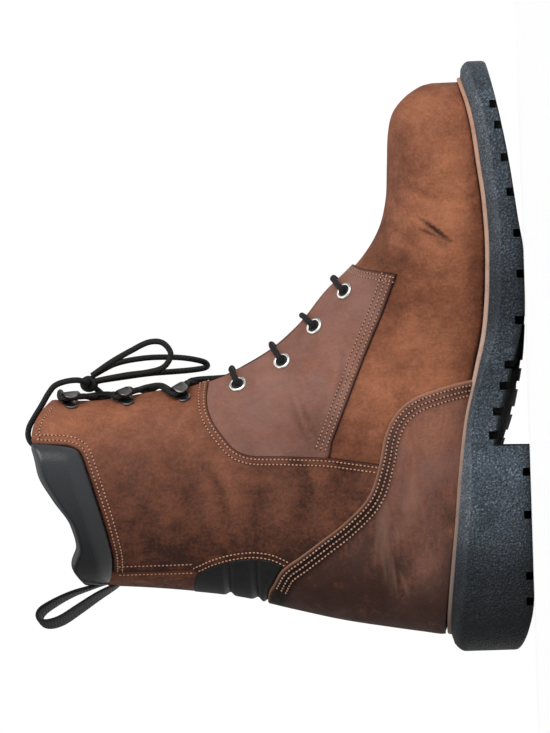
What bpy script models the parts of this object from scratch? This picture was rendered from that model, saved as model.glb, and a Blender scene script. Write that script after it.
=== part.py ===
"""Left work boot: lug sole, welt, insole, hollow leather upper with its overlays, tongue and laces.

The frame stands on the floor under the middle of the heel: +X to the toe, +Y to the outer side, +Z up.
Tables are in millimetres, measured from the back of the sole and from the floor, for the reference
last below. The driving sizes stretch them, and every point ends up in metres.
"""

import math
from collections import namedtuple

import bmesh
import bpy
from mathutils import Vector

# Driving sizes, in metres
LAST_LENGTH = 0.2843
BALL_WIDTH = 0.098
COLLAR_HEIGHT = 0.257
WALL = 0.0024
SEAT_GAP = 0.0003

# The reference last that the tables were drawn for, in millimetres
REFERENCE_LENGTH = 284.3
REFERENCE_BALL = 98.0
REFERENCE_HEIGHT = 257.0
ALONG = LAST_LENGTH / REFERENCE_LENGTH
ACROSS = BALL_WIDTH / REFERENCE_BALL
UP = COLLAR_HEIGHT / REFERENCE_HEIGHT

HEEL_CENTRE = 55.0
INNER, OUTER = -1, 1
SIDES = (INNER, OUTER)

# One row for each section of the last, from the toe over the instep and up the shaft.
# base and top are its lower (or back) and upper (or front) points seen from the side,
# foot and wide are the half breadths at the sole and where it is widest, on the inner and outer
# side, wide_at the share of the height where that is, ridge the sideways place of its top,
# and arch the squareness of the curve over the top, where 2 is an ellipse. Past the back of the heel
# a section closes on itself there, so foot no longer counts.
Section = namedtuple(
    "Section",
    "base_x base_z top_x top_z foot_inner foot_outer wide_inner wide_outer wide_at ridge arch",
)
SECTIONS = [
    Section(297.6, 31.4, 297.4, 45.0, 7.0, -7.0, 7.0, -7.0, 0.45, -7.0, 2.4),
    Section(296.2, 31.0, 295.6, 51.5, 16.5, 3.0, 18.0, 4.5, 0.44, -7.0, 2.4),
    Section(291.5, 29.6, 290.0, 59.8, 26.0, 13.5, 28.0, 15.5, 0.42, -6.8, 2.4),
    Section(283.0, 27.0, 282.0, 66.0, 33.5, 21.5, 36.5, 24.5, 0.40, -6.5, 2.5),
    Section(271.0, 24.8, 271.0, 68.6, 38.8, 29.0, 42.5, 32.5, 0.38, -6.0, 2.5),
    Section(254.0, 22.8, 255.0, 69.6, 42.3, 36.0, 46.5, 40.0, 0.36, -5.4, 2.45),
    Section(234.0, 20.5, 237.0, 70.9, 44.0, 41.8, 48.3, 46.0, 0.34, -4.8, 2.35),
    Section(213.0, 19.6, 221.0, 75.7, 43.5, 46.0, 48.0, 50.0, 0.32, -4.2, 2.2),
    Section(192.0, 20.2, 205.5, 86.5, 39.8, 47.0, 44.5, 51.0, 0.30, -3.6, 2.1),
    Section(170.0, 22.3, 190.5, 103.5, 34.0, 44.0, 40.0, 48.5, 0.29, -3.0, 2.0),
    Section(147.0, 27.5, 175.0, 117.6, 29.5, 39.0, 37.0, 44.0, 0.29, -2.4, 2.0),
    Section(122.0, 33.6, 162.5, 133.5, 28.3, 35.0, 35.8, 40.5, 0.30, -1.8, 2.0),
    Section(96.0, 37.3, 153.5, 151.0, 29.5, 33.0, 36.0, 38.8, 0.33, -1.2, 2.0),
    Section(70.0, 40.0, 147.8, 165.5, 31.0, 32.0, 36.8, 38.2, 0.38, -0.8, 2.05),
    Section(46.0, 43.0, 145.4, 177.0, 30.0, 30.5, 37.2, 38.0, 0.43, -0.4, 2.1),
    Section(27.0, 45.2, 144.6, 187.0, 24.8, 25.2, 37.5, 38.0, 0.47, -0.2, 2.15),
    Section(17.0, 46.2, 143.6, 195.0, 15.0, 15.2, 37.8, 38.2, 0.49, 0.0, 2.2),
    Section(13.3, 47.0, 142.6, 202.0, 0.0, 0.0, 38.0, 38.4, 0.50, 0.0, 2.2),
    Section(14.8, 58.0, 141.6, 208.5, -15.0, -15.2, 38.4, 38.8, 0.50, 0.0, 2.2),
    Section(18.0, 77.0, 140.4, 215.5, 0.0, 0.0, 38.9, 39.2, 0.50, 0.0, 2.25),
    Section(22.3, 100.0, 139.4, 223.0, 0.0, 0.0, 39.4, 39.6, 0.50, 0.0, 2.25),
    Section(28.5, 125.0, 139.0, 231.0, 0.0, 0.0, 39.9, 40.1, 0.50, 0.0, 2.3),
    Section(35.0, 150.0, 139.2, 239.0, 0.0, 0.0, 40.4, 40.6, 0.50, 0.0, 2.3),
    Section(39.0, 176.0, 139.8, 247.0, 0.0, 0.0, 40.9, 41.1, 0.50, 0.0, 2.3),
    Section(42.0, 205.0, 140.6, 255.5, 0.0, 0.0, 41.5, 41.7, 0.50, 0.0, 2.35),
    Section(43.5, 232.0, 141.4, 264.0, 0.0, 0.0, 42.2, 42.4, 0.50, 0.0, 2.35),
    Section(43.8, 258.0, 142.0, 272.5, 0.0, 0.0, 43.0, 43.2, 0.50, 0.0, 2.35),
]
THROAT = 8.0
HEEL_BACK = 17.0
LAST_SECTION = len(SECTIONS) - 1.0
LOWER_SHARE = 0.42

# Half the gap between the two facings, at sections up the throat
Facing = namedtuple("Facing", "section half_gap")
FACINGS = [
    Facing(THROAT, 0.0),
    Facing(THROAT + 0.4, 5.0),
    Facing(THROAT + 1.5, 8.5),
    Facing(THROAT + 5.0, 10.5),
    Facing(LAST_SECTION, 13.0),
]

# Top edge of the shaft and its padded collar, from the back to the front
Edge = namedtuple("Edge", "x z")
COLLAR_LINE = [
    Edge(30.0, 236.0),
    Edge(44.0, 238.0),
    Edge(53.0, 240.5),
    Edge(63.5, 237.5),
    Edge(74.0, 241.0),
    Edge(87.0, 249.5),
    Edge(100.0, 255.5),
    Edge(112.0, 257.4),
    Edge(124.0, 256.5),
    Edge(133.0, 252.0),
    Edge(141.0, 244.0),
    Edge(150.0, 234.0),
]


def curve_through(rows, key, column, value):
    """Smooth value of a column, read by its key column, that never overshoots its rows."""
    keys = [getattr(row, key) for row in rows]
    values = [getattr(row, column) for row in rows]
    place = 0
    while place < len(rows) - 2 and keys[place + 1] < value:
        place += 1
    width = keys[place + 1] - keys[place]
    share = min(max((value - keys[place]) / width, 0.0), 1.0)

    def rise(index):
        return (values[index + 1] - values[index]) / (keys[index + 1] - keys[index])

    def slope(index):
        before, after = rise(max(index - 1, 0)), rise(min(index, len(rows) - 2))
        if before * after <= 0.0:
            return 0.0
        return 2 * before * after / (before + after)

    return hermite(
        values[place], values[place + 1], slope(place) * width, slope(place + 1) * width, share
    )


def hermite(start, end, start_slope, end_slope, share):
    rest = 1.0 - share
    return (
        start * (1 + 2 * share) * rest * rest
        + start_slope * share * rest * rest
        + end * share * share * (3 - 2 * share)
        - end_slope * share * share * rest
    )


def section_at(station):
    """The section of the last at a place between the rows of the table."""
    place = min(int(station), len(SECTIONS) - 2)
    share = station - place
    rows = [SECTIONS[min(max(place + step, 0), len(SECTIONS) - 1)] for step in (-1, 0, 1, 2)]
    return Section(
        *(
            hermite(b, c, (c - a) / 2, (d - b) / 2, share)
            for a, b, c, d in zip(*rows)
        )
    )


def half_gap(station):
    if station <= THROAT:
        return 0.0
    return max(curve_through(FACINGS, "section", "half_gap", station), 0.0)


def placed(x, y, z):
    """A point of the tables, in metres in the boot's own frame."""
    return Vector(((x - HEEL_CENTRE) * ALONG, y * ACROSS, z * UP))


def side_point(station, climb, side, gap):
    """A point of the last in table millimetres: climb runs from the sole or the back, 0, to the top, 1."""
    row = section_at(station)
    foot = row.foot_outer if side == OUTER else -row.foot_inner
    wide = row.wide_outer if side == OUTER else -row.wide_inner
    reach = max(abs(wide - row.ridge), 1e-6)
    if climb < LOWER_SHARE:
        start = math.asin(min(abs(foot - row.ridge) / reach, 0.98)) if reach > 0.1 else 1.0
        if station >= HEEL_BACK:
            start = 0.0
        angle = start + climb / LOWER_SHARE * (math.pi / 2 - start)
        rise = row.wide_at * (1 - math.cos(angle) / math.cos(start))
        across = row.ridge + (wide - row.ridge) * math.sin(angle)
    else:
        stop = math.acos(min(gap / reach, 1.0) ** (row.arch / 2))
        angle = (climb - LOWER_SHARE) / (1 - LOWER_SHARE) * stop
        rise = row.wide_at + (1 - row.wide_at) * math.sin(angle) ** (2 / row.arch)
        across = row.ridge + (wide - row.ridge) * max(math.cos(angle), 0.0) ** (2 / row.arch)
    x = row.base_x + (row.top_x - row.base_x) * rise
    z = row.base_z + (row.top_z - row.base_z) * rise
    return x, across, z


def surface(station, climb, side, lift=0.0, laced=True):
    """A point on the outside of the upper, lifted off it along its normal."""
    gap = half_gap(station) if laced else 0.0
    point = placed(*side_point(station, climb, side, gap))
    if lift == 0.0:
        return point
    step = 0.02
    low_s, high_s = max(station - step, 0.03), min(max(station + step, 0.07), LAST_SECTION)
    low_c, high_c = max(climb - step, 0.0), min(climb + step, 1.0)
    along = placed(*side_point(high_s, climb, side, gap)) - placed(*side_point(low_s, climb, side, gap))
    over = placed(*side_point(station, high_c, side, gap)) - placed(*side_point(station, low_c, side, gap))
    normal = along.cross(over) * side
    return point + normal.normalized() * lift


def collar_station(climb, side, extra=0.0):
    """The place up the shaft where a line of the last reaches the top edge."""
    low, high = HEEL_BACK, LAST_SECTION
    for _ in range(40):
        middle = (low + high) / 2
        x, _, z = side_point(middle, climb, side, half_gap(middle))
        if z > curve_through(COLLAR_LINE, "x", "z", x) + extra:
            high = middle
        else:
            low = middle
    return low


def shaft_station(station, climb, side):
    """Stations above the heel draw together so that the last one is the top edge."""
    if station <= HEEL_BACK:
        return station
    share = (station - HEEL_BACK) / (LAST_SECTION - HEEL_BACK)
    return HEEL_BACK + share * (collar_station(climb, side) - HEEL_BACK)


def new_object(name, mesh_points, faces):
    mesh = bpy.data.meshes.new(name)
    mesh.from_pydata([tuple(p) for p in mesh_points], [], faces)
    mesh.validate()
    piece = bpy.data.objects.new(name, mesh)
    bpy.context.collection.objects.link(piece)
    return piece


def join_close_points(piece, distance=1e-6):
    work = bmesh.new()
    work.from_mesh(piece.data)
    bmesh.ops.remove_doubles(work, verts=work.verts[:], dist=distance)
    work.to_mesh(piece.data)
    work.free()


def face_outwards(piece):
    work = bmesh.new()
    work.from_mesh(piece.data)
    bmesh.ops.recalc_face_normals(work, faces=work.faces[:])
    if work.calc_volume(signed=True) < 0:
        bmesh.ops.reverse_faces(work, faces=work.faces[:])
    work.to_mesh(piece.data)
    work.free()


def sheet(name, stations, climbs, lift, sides=SIDES, laced=True, to_collar=True):
    """An open sheet over the last; the two sides join wherever their edges meet."""
    points, faces = [], []
    for side in sides:
        start = len(points)
        for station in stations:
            for climb in climbs:
                place = shaft_station(station, climb, side) if to_collar else station
                points.append(surface(place, climb, side, laced=laced))
        row = len(climbs)
        for i in range(len(stations) - 1):
            for j in range(row - 1):
                corner = start + i * row + j
                loops = [[corner, corner + row, corner + row + 1], [corner, corner + row + 1, corner + 1]]
                if j == row - 2:
                    loops = [[corner, corner + row, corner + 1], [corner + row, corner + row + 1, corner + 1]]
                for loop in loops:
                    faces.append(loop if side == OUTER else loop[::-1])
    piece = new_object(name, points, faces)
    join_close_points(piece)
    raise_sheet(piece, lift)
    return piece


def raise_sheet(piece, lift):
    """Move a sheet along its own normals."""
    work = bmesh.new()
    work.from_mesh(piece.data)
    work.normal_update()
    moves = [(vertex, vertex.normal * lift) for vertex in work.verts]
    for vertex, move in moves:
        vertex.co += move
    work.to_mesh(piece.data)
    work.free()


def thicken(piece, thickness, inward):
    shell = piece.modifiers.new("thickness", "SOLIDIFY")
    shell.thickness = thickness
    shell.offset = -1.0 if inward else 1.0
    shell.use_even_offset = True
    return shell


def spaced(start, end, count):
    return [start + (end - start) * i / (count - 1) for i in range(count)]


# Grid that the upper and its overlays share, so that their facets lie parallel
TOE_STATIONS = spaced(0.0, 5.0, 10)
FOOT_STATIONS = spaced(5.5, HEEL_BACK, 24)
SHAFT_STATIONS = spaced(17.75, LAST_SECTION, 9)
STATIONS = TOE_STATIONS + FOOT_STATIONS + SHAFT_STATIONS
CLIMBS = spaced(0.0, LOWER_SHARE, 5) + spaced(LOWER_SHARE, 1.0, 6)[1:]


def upper():
    piece = sheet("upper", STATIONS, CLIMBS, 0.0)
    thicken(piece, WALL, inward=True)
    return piece


# Tongue: a strip under the facings, its tip above the collar
TONGUE_THICKNESS = 0.0035
TONGUE_DROP = WALL + 0.0017
TONGUE_STATIONS = spaced(7.6, 25.5, 17)
TONGUE_CLIMBS = spaced(0.70, 1.0, 4)
LEAN_FROM = 232.0
LEAN_EASE = 8.0
LEAN_BACK = 0.5
LEAN_HALF_WIDTH = 32.0


def leaned(point):
    """The loose top of the tongue leans back into the collar, most of all in its middle."""
    rise = max(point.z / UP - LEAN_FROM, 0.0)
    lean = LEAN_BACK * rise * rise / (rise + LEAN_EASE)
    edge = min((point.y / (ACROSS * LEAN_HALF_WIDTH)) ** 2, 1.0)
    return point - Vector((lean * (1.0 - 0.75 * edge) * ALONG, 0.0, lean * (1.0 - edge) * UP))


def tongue():
    piece = sheet("tongue", TONGUE_STATIONS, TONGUE_CLIMBS, -TONGUE_DROP, laced=False, to_collar=False)
    for vertex in piece.data.vertices:
        vertex.co = leaned(vertex.co)
    thicken(piece, TONGUE_THICKNESS, inward=True)
    return piece


# Outline of the sole: how far it stands out beyond the last, from toe to heel
Ledge = namedtuple("Ledge", "section reach")
LEDGES = [
    Ledge(0.0, 10.6),
    Ledge(2.0, 10.0),
    Ledge(4.0, 9.0),
    Ledge(7.0, 8.6),
    Ledge(10.0, 7.4),
    Ledge(12.0, 7.2),
    Ledge(14.0, 8.0),
    Ledge(16.0, 10.2),
    Ledge(17.0, 11.3),
]


def foot_outline(station, side, reach):
    """A point of the last's bottom outline, moved outwards by a distance in table millimetres."""

    def bottom(place):
        row = section_at(place)
        return row.base_x, row.foot_outer if side == OUTER else -row.foot_inner

    x, y = bottom(station)
    x0, y0 = bottom(max(station - 0.02, 0.0))
    x1, y1 = bottom(min(station + 0.02, HEEL_BACK))
    along_x, along_y = x1 - x0, y1 - y0
    if station < 0.02:
        out_x, out_y = 1.0, 0.0
    elif station > HEEL_BACK - 0.02:
        out_x, out_y = -1.0, 0.0
    else:
        length = math.hypot(along_x, along_y)
        out_x, out_y = -side * -along_y / length, -side * along_x / length
    x += out_x * reach
    return x, y + out_y * reach, feather(x)


FEATHER = [Edge(0.0, 45.6), Edge(17.0, 45.4), Edge(27.0, 44.6), Edge(46.0, 42.6)]
FEATHER += [Edge(row.base_x, row.base_z) for row in reversed(SECTIONS[3:14])]
FEATHER += [Edge(297.6, 31.4), Edge(312.0, 35.7)]


def feather(x):
    """Height of the edge where the upper meets the welt."""
    return curve_through(FEATHER, "x", "z", x)


def ledge(station):
    return curve_through(LEDGES, "section", "reach", station)


WELT_GAP = 0.6
WELT_THICKNESS = 2.4
WELT_REACH = 2.6
WELT_WITHIN = 7.0
RING_STATIONS = spaced(0.0, 5.0, 11) + spaced(6.0, HEEL_BACK - 3.0, 9) + spaced(14.5, HEEL_BACK, 6)


def ring_loop(stations):
    loop = [(station, OUTER) for station in stations]
    return loop + [(station, INNER) for station in reversed(stations[1:-1])]


def skin(name, sections, closed, capped=True):
    """A solid through cross sections of equal corner count, whose corners are points in metres."""
    corners = len(sections[0])
    points = [corner for section in sections for corner in section]
    faces = []
    for i in range(len(sections) if closed else len(sections) - 1):
        follow = (i + 1) % len(sections)
        for j in range(corners):
            beside = (j + 1) % corners
            faces.append(
                [i * corners + j, follow * corners + j, follow * corners + beside, i * corners + beside]
            )
    if capped and not closed:
        last = (len(sections) - 1) * corners
        faces.append(list(range(corners)))
        faces.append([last + j for j in range(corners)])
    piece = new_object(name, points, faces)
    join_close_points(piece)
    face_outwards(piece)
    return piece


def band(name, sections, closed=True, capped=True):
    """The same with corners in the table's sizes: a ring, or with ends capped or pinched."""
    return skin(name, [[placed(*corner) for corner in section] for section in sections], closed, capped)


def welt():
    top, bottom = WELT_GAP, WELT_GAP + WELT_THICKNESS
    sections = []
    for station, side in ring_loop(RING_STATIONS):
        outside = foot_outline(station, side, WELT_REACH)
        inside = foot_outline(station, side, -WELT_WITHIN)
        sections.append(
            [
                (outside[0], outside[1], outside[2] - top),
                (outside[0], outside[1], outside[2] - bottom),
                (inside[0], inside[1], inside[2] - bottom),
                (inside[0], inside[1], inside[2] - top),
            ]
        )
    return band("welt", sections)


# Insole: a plate inside the upper, on the welt
INSOLE_THICKNESS = 4.0
INSOLE_LIFT = 0.4
INSOLE_INSET = WALL / 0.001 + 2.6


def insole():
    stations = spaced(0.5, 5.0, 10) + spaced(6.0, HEEL_BACK - 3.0, 9) + spaced(14.5, HEEL_BACK - 0.5, 5)
    sections = []
    for station in stations:
        outer_x, outer_y, outer_z = foot_outline(station, OUTER, -INSOLE_INSET)
        inner_x, inner_y, inner_z = foot_outline(station, INNER, -INSOLE_INSET)
        top = INSOLE_LIFT + INSOLE_THICKNESS
        sections.append(
            [
                (outer_x, outer_y, outer_z + top),
                (inner_x, inner_y, inner_z + top),
                (inner_x, inner_y, inner_z + INSOLE_LIFT),
                (outer_x, outer_y, outer_z + INSOLE_LIFT),
            ]
        )
    return band("insole", sections, closed=False)


# Underside of the sole on the inner and outer edge: the heel, then the arch and forefoot
Tread = namedtuple("Tread", "x inner outer")
HEEL_TREAD = [
    Tread(0.0, 12.6, 12.6),
    Tread(9.0, 7.2, 7.2),
    Tread(19.0, 2.2, 2.2),
    Tread(27.0, 0.0, 0.0),
    Tread(108.4, 0.0, 0.0),
]
FORE_TREAD = [
    Tread(108.4, 18.0, 13.8),
    Tread(126.0, 14.4, 7.8),
    Tread(138.0, 11.0, 5.0),
    Tread(150.0, 7.8, 2.6),
    Tread(162.0, 4.0, 1.2),
    Tread(174.0, 1.4, 0.4),
    Tread(186.0, 0.0, 0.0),
    Tread(208.0, 0.0, 0.0),
    Tread(225.0, 2.2, 2.2),
    Tread(255.0, 6.0, 6.0),
    Tread(280.0, 10.3, 10.3),
    Tread(300.0, 14.8, 14.8),
    Tread(310.0, 17.6, 17.6),
]
BREAST = 108.4
BEVEL_REACH = 2.0
BEVEL_DROP = 3.4
RIM_DROP = 4.6
EDGE_INSET = 1.8
EDGE_RISE = 2.2
SOLE_TOP = WELT_GAP + WELT_THICKNESS + 0.5
SOLE_STATIONS = (
    spaced(0.0, 5.0, 12)
    + spaced(5.7, 10.9, 9)
    + [11.35, 11.49, 11.56]
    + spaced(12.2, 15.0, 5)
    + spaced(15.4, HEEL_BACK, 6)
)


def tread(x, side):
    rows = HEEL_TREAD if x <= BREAST else FORE_TREAD
    return curve_through(rows, "x", "outer" if side == OUTER else "inner", x)


def sole_side(station, side):
    """One side of the sole's cross section, from under the welt down to the tread."""
    reach = ledge(station)
    corners = []
    for out, drop in ((BEVEL_REACH, 0.0), (reach - 0.9, BEVEL_DROP), (reach, RIM_DROP)):
        x, y, z = foot_outline(station, side, out)
        corners.append((x, y, z - SOLE_TOP - drop))
    for out, rise in ((reach, EDGE_RISE), (reach - EDGE_INSET, 0.0)):
        x, y, _ = foot_outline(station, side, out)
        corners.append((x, y, tread(x, side) + rise))
    return corners


# Lugs: grooves cut up into the tread, in from the edge, round inside it, and across its middle
CHANNEL_DEPTH = 4.6
NOTCH_DEPTH = 4.0
CROSS_DEPTH = 3.3
GROOVE_WIDTH = 4.2
CROSS_WIDTH = 3.5
EDGE_LUG = 15.0
FORE_NOTCHES = (284.8, 273.9, 257.0, 239.0, 217.8, 196.8, 173.0, 150.2, 139.3, 126.1, 114.0)
HEEL_NOTCHES = (94.6, 72.4, 40.8, 27.6)
NOTCHES = FORE_NOTCHES + HEEL_NOTCHES
CROSS_GROOVES = (257.0, 239.0, 217.8, 173.0, 150.2, 72.4, 40.8)
FORE_CHANNEL = spaced(1.6, 10.4, 13)
HEEL_CHANNEL = spaced(12.1, 16.7, 9)


def outline_at(x, side):
    """Sideways place of the sole's edge at a distance from its back."""
    low, high = 0.0, HEEL_BACK
    for _ in range(30):
        middle = (low + high) / 2
        if foot_outline(middle, side, ledge(middle))[0] > x:
            low = middle
        else:
            high = middle
    return foot_outline(low, side, ledge(low))[1]


def blocks(name, boxes):
    """Several boxes in one hidden cutter, each given by its two far corners."""
    work = bmesh.new()
    for low, high in boxes:
        start, end = placed(*low), placed(*high)
        made = bmesh.ops.create_cube(work, size=1.0)["verts"]
        bmesh.ops.scale(work, vec=end - start, verts=made)
        bmesh.ops.translate(work, vec=(start + end) / 2, verts=made)
    mesh = bpy.data.meshes.new(name)
    work.to_mesh(mesh)
    work.free()
    piece = bpy.data.objects.new(name, mesh)
    bpy.context.collection.objects.link(piece)
    return hidden(piece)


def hidden(piece):
    piece.hide_render = True
    piece.display_type = "WIRE"
    return piece


def cut(piece, cutter, operation="DIFFERENCE"):
    step = piece.modifiers.new(cutter.name, "BOOLEAN")
    step.operation = operation
    step.solver = "EXACT"
    step.object = cutter


def channel(name, stations, towards_toe):
    """A groove that runs inside the edge lugs on both sides and round one end."""
    route = [(s, OUTER) for s in stations] + [(s, INNER) for s in reversed(stations)]
    if towards_toe:
        route = [(s, OUTER) for s in reversed(stations)] + [(s, INNER) for s in stations]
    sections = []
    for station, side in route:
        corners = []
        for inset in (EDGE_LUG, EDGE_LUG + GROOVE_WIDTH):
            x, y, _ = foot_outline(station, side, ledge(station) - inset)
            top = tread(x, side) + CHANNEL_DEPTH
            corners.append([(x, y, -6.0), (x, y, top)])
        sections.append([corners[0][0], corners[0][1], corners[1][1], corners[1][0]])
    return hidden(band(name, sections, closed=False))


def outsole():
    sections = [
        sole_side(station, OUTER) + sole_side(station, INNER)[::-1] for station in SOLE_STATIONS
    ]
    piece = band("outsole", sections, closed=False, capped=False)
    notches = []
    for x in NOTCHES:
        for side in SIDES:
            edge = outline_at(x, side)
            inside = edge - side * (EDGE_LUG + 1.3)
            low_y, high_y = sorted((edge + side * 6.0, inside))
            top = tread(x, side) + NOTCH_DEPTH
            notches.append(
                ((x - GROOVE_WIDTH / 2, low_y, top - 14.0), (x + GROOVE_WIDTH / 2, high_y, top))
            )
    crossings = []
    for x in CROSS_GROOVES:
        top = max(tread(x, INNER), tread(x, OUTER)) + CROSS_DEPTH
        low_y = outline_at(x, INNER) + EDGE_LUG + 2.6
        high_y = outline_at(x, OUTER) - EDGE_LUG - 2.6
        crossings.append(
            ((x - CROSS_WIDTH / 2, low_y, top - 14.0), (x + CROSS_WIDTH / 2, high_y, top))
        )
    cut(piece, channel("fore_channel", FORE_CHANNEL, towards_toe=True))
    cut(piece, channel("heel_channel", HEEL_CHANNEL, towards_toe=False))
    cut(piece, blocks("notches", notches))
    cut(piece, blocks("cross_grooves", crossings))
    return piece


# Overlays, each outlined as it is seen from the side
LEATHER = 0.0013
PAD = 0.0042
EYESTAY_OUTLINE = [
    Edge(214.0, 100.0),
    Edge(203.1, 86.5),
    Edge(200.7, 76.4),
    Edge(198.6, 65.4),
    Edge(158.5, 82.6),
    Edge(105.4, 104.7),
    Edge(106.4, 124.2),
    Edge(107.1, 146.0),
    Edge(110.5, 151.8),
    Edge(116.4, 157.0),
    Edge(125.8, 163.4),
    Edge(135.2, 165.8),
    Edge(147.7, 164.0),
    Edge(170.0, 162.0),
]
COUNTER_OUTLINE = [
    Edge(143.0, 32.0),
    Edge(139.7, 44.3),
    Edge(134.7, 58.7),
    Edge(126.8, 69.0),
    Edge(115.4, 74.9),
    Edge(101.0, 78.5),
    Edge(84.5, 83.8),
    Edge(70.1, 94.2),
    Edge(58.0, 109.0),
    Edge(50.0, 121.0),
    Edge(43.1, 125.0),
    Edge(0.0, 125.0),
    Edge(0.0, 48.5),
    Edge(30.0, 47.0),
    Edge(62.0, 43.5),
    Edge(99.0, 40.0),
    Edge(123.0, 36.5),
]
FLEX_OUTLINE = [
    Edge(20.0, 126.0),
    Edge(44.5, 126.0),
    Edge(49.0, 133.0),
    Edge(51.2, 144.0),
    Edge(51.4, 154.0),
    Edge(50.2, 165.0),
    Edge(47.0, 174.0),
    Edge(20.0, 174.0),
]
BACKSTAY_OUTLINE = [Edge(20.0, 175.0), Edge(49.8, 175.0), Edge(49.8, 214.6), Edge(20.0, 214.6)]
PAD_OUTLINE = [
    Edge(116.6, 275.0),
    Edge(115.8, 249.0),
    Edge(115.0, 239.0),
    Edge(113.0, 234.0),
    Edge(110.0, 231.5),
    Edge(102.0, 228.7),
    Edge(91.0, 225.4),
    Edge(78.0, 221.6),
    Edge(64.5, 218.4),
    Edge(56.0, 217.2),
    Edge(46.0, 218.3),
    Edge(20.0, 221.0),
    Edge(20.0, 275.0),
]
SIDE_REACH = 90.0


def side_prism(name, outline):
    """A hidden form with an outline seen from the side, right across the boot."""
    curve = bpy.data.curves.new(name, "CURVE")
    curve.dimensions = "2D"
    curve.fill_mode = "BOTH"
    curve.extrude = SIDE_REACH * ACROSS
    path = curve.splines.new("POLY")
    path.use_cyclic_u = True
    path.points.add(len(outline) - 1)
    for point, edge in zip(path.points, outline):
        spot = placed(edge.x, 0.0, edge.z)
        point.co = (spot.x, spot.z, 0.0, 1.0)
    flat = bpy.data.objects.new(name + "_flat", curve)
    flat.rotation_euler = (math.pi / 2, 0.0, 0.0)
    bpy.context.collection.objects.link(flat)
    bpy.context.view_layer.update()
    mesh = bpy.data.meshes.new_from_object(flat.evaluated_get(bpy.context.evaluated_depsgraph_get()))
    mesh.transform(flat.matrix_world)
    bpy.data.objects.remove(flat, do_unlink=True)
    piece = bpy.data.objects.new(name, mesh)
    bpy.context.collection.objects.link(piece)
    join_close_points(piece)
    face_outwards(piece)
    return hidden(piece)


def overlay(name, outline, thickness, stations, climbs, sides=SIDES, lift=SEAT_GAP):
    """A piece of even thickness on the upper: its own form between the upper and an outline."""
    piece = sheet(name, stations, climbs, lift, sides)
    thicken(piece, thickness, inward=False)
    cut(piece, side_prism(name + "_form", outline), "INTERSECT")
    return piece


def between(values, low, high):
    return [value for value in values if low <= value <= high]


def overlays():
    for name, side in (("eyestay_inner", INNER), ("eyestay_outer", OUTER)):
        overlay(name, EYESTAY_OUTLINE, LEATHER, between(STATIONS, 6.9, 18.6), CLIMBS[3:], (side,))
    overlay("counter", COUNTER_OUTLINE, LEATHER, between(STATIONS, 9.9, 22.0), CLIMBS[:7])
    overlay("flex_panel", FLEX_OUTLINE, LEATHER * 1.8, between(STATIONS, 19.0, 26.0), CLIMBS[:4])
    overlay("backstay", BACKSTAY_OUTLINE, LEATHER, between(STATIONS, 22.0, 26.0), CLIMBS[:4])
    overlay("collar_pad", PAD_OUTLINE, PAD, between(STATIONS, 20.0, 26.0), CLIMBS[:9])


# Pull loop: a flat strap folded over on itself at the back of the collar
LOOP_PATH = [
    Edge(38.4, 214.0),
    Edge(32.2, 226.0),
    Edge(25.4, 237.0),
    Edge(20.2, 246.0),
    Edge(18.6, 253.0),
    Edge(20.6, 257.6),
    Edge(25.6, 256.6),
    Edge(30.0, 249.0),
    Edge(33.6, 240.0),
    Edge(35.6, 232.0),
    Edge(37.2, 224.0),
]
LOOP_THICKNESS = 1.8
LOOP_WIDTH = 14.0


def pull_loop():
    count = len(LOOP_PATH)
    sections = []
    for i, spot in enumerate(LOOP_PATH):
        before, after = LOOP_PATH[i - 1], LOOP_PATH[(i + 1) % count]
        length = math.hypot(after.x - before.x, after.z - before.z)
        out_x, out_z = -(after.z - before.z) / length, (after.x - before.x) / length
        half = LOOP_THICKNESS / 2
        sections.append(
            [
                (spot.x + out_x * half, -LOOP_WIDTH / 2, spot.z + out_z * half),
                (spot.x + out_x * half, LOOP_WIDTH / 2, spot.z + out_z * half),
                (spot.x - out_x * half, LOOP_WIDTH / 2, spot.z - out_z * half),
                (spot.x - out_x * half, -LOOP_WIDTH / 2, spot.z - out_z * half),
            ]
        )
    return band("pull_loop", sections)


# Eyelets and hooks up the facings, from the lowest, as they are seen from the side
EYELETS = [Edge(190.3, 92.5), Edge(172.6, 108.8), Edge(155.0, 126.3), Edge(143.6, 149.8)]
HOOKS = [Edge(138.2, 178.9), Edge(136.6, 208.0), Edge(135.4, 237.2)]
EYELET_RADIUS = 4.3
EYELET_HOLE = 2.5
EYELET_HEIGHT = 1.0
EYELET_SIDES = 10
HOOK_WIDTH = 7.0
HOOK_METAL = 1.0
TRIM_LIFT = LEATHER + 2 * SEAT_GAP


def locate(edge, side):
    """The station and climb of the point of the upper that is seen at a place from the side."""
    best = None
    for i in range(70, 261):
        for j in range(45, 101):
            x, _, z = side_point(i / 10, j / 100, side, half_gap(i / 10))
            miss = math.hypot(x - edge.x, z - edge.z)
            if best is None or miss < best[0]:
                best = (miss, i / 10, j / 100)
    _, station, climb = best
    for _ in range(8):
        step = 0.001
        x, _, z = side_point(station, climb, side, half_gap(station))
        x_s, _, z_s = side_point(station + step, climb, side, half_gap(station + step))
        x_c, _, z_c = side_point(station, climb - step, side, half_gap(station))
        a, b, c, d = (x_s - x) / step, (x - x_c) / step, (z_s - z) / step, (z - z_c) / step
        determinant = a * d - b * c
        if abs(determinant) < 1e-6:
            break
        station += ((edge.x - x) * d - (edge.z - z) * b) / determinant
        climb += ((edge.z - z) * a - (edge.x - x) * c) / determinant
        climb = min(max(climb, 0.45), 0.985)
    return station, climb


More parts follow.
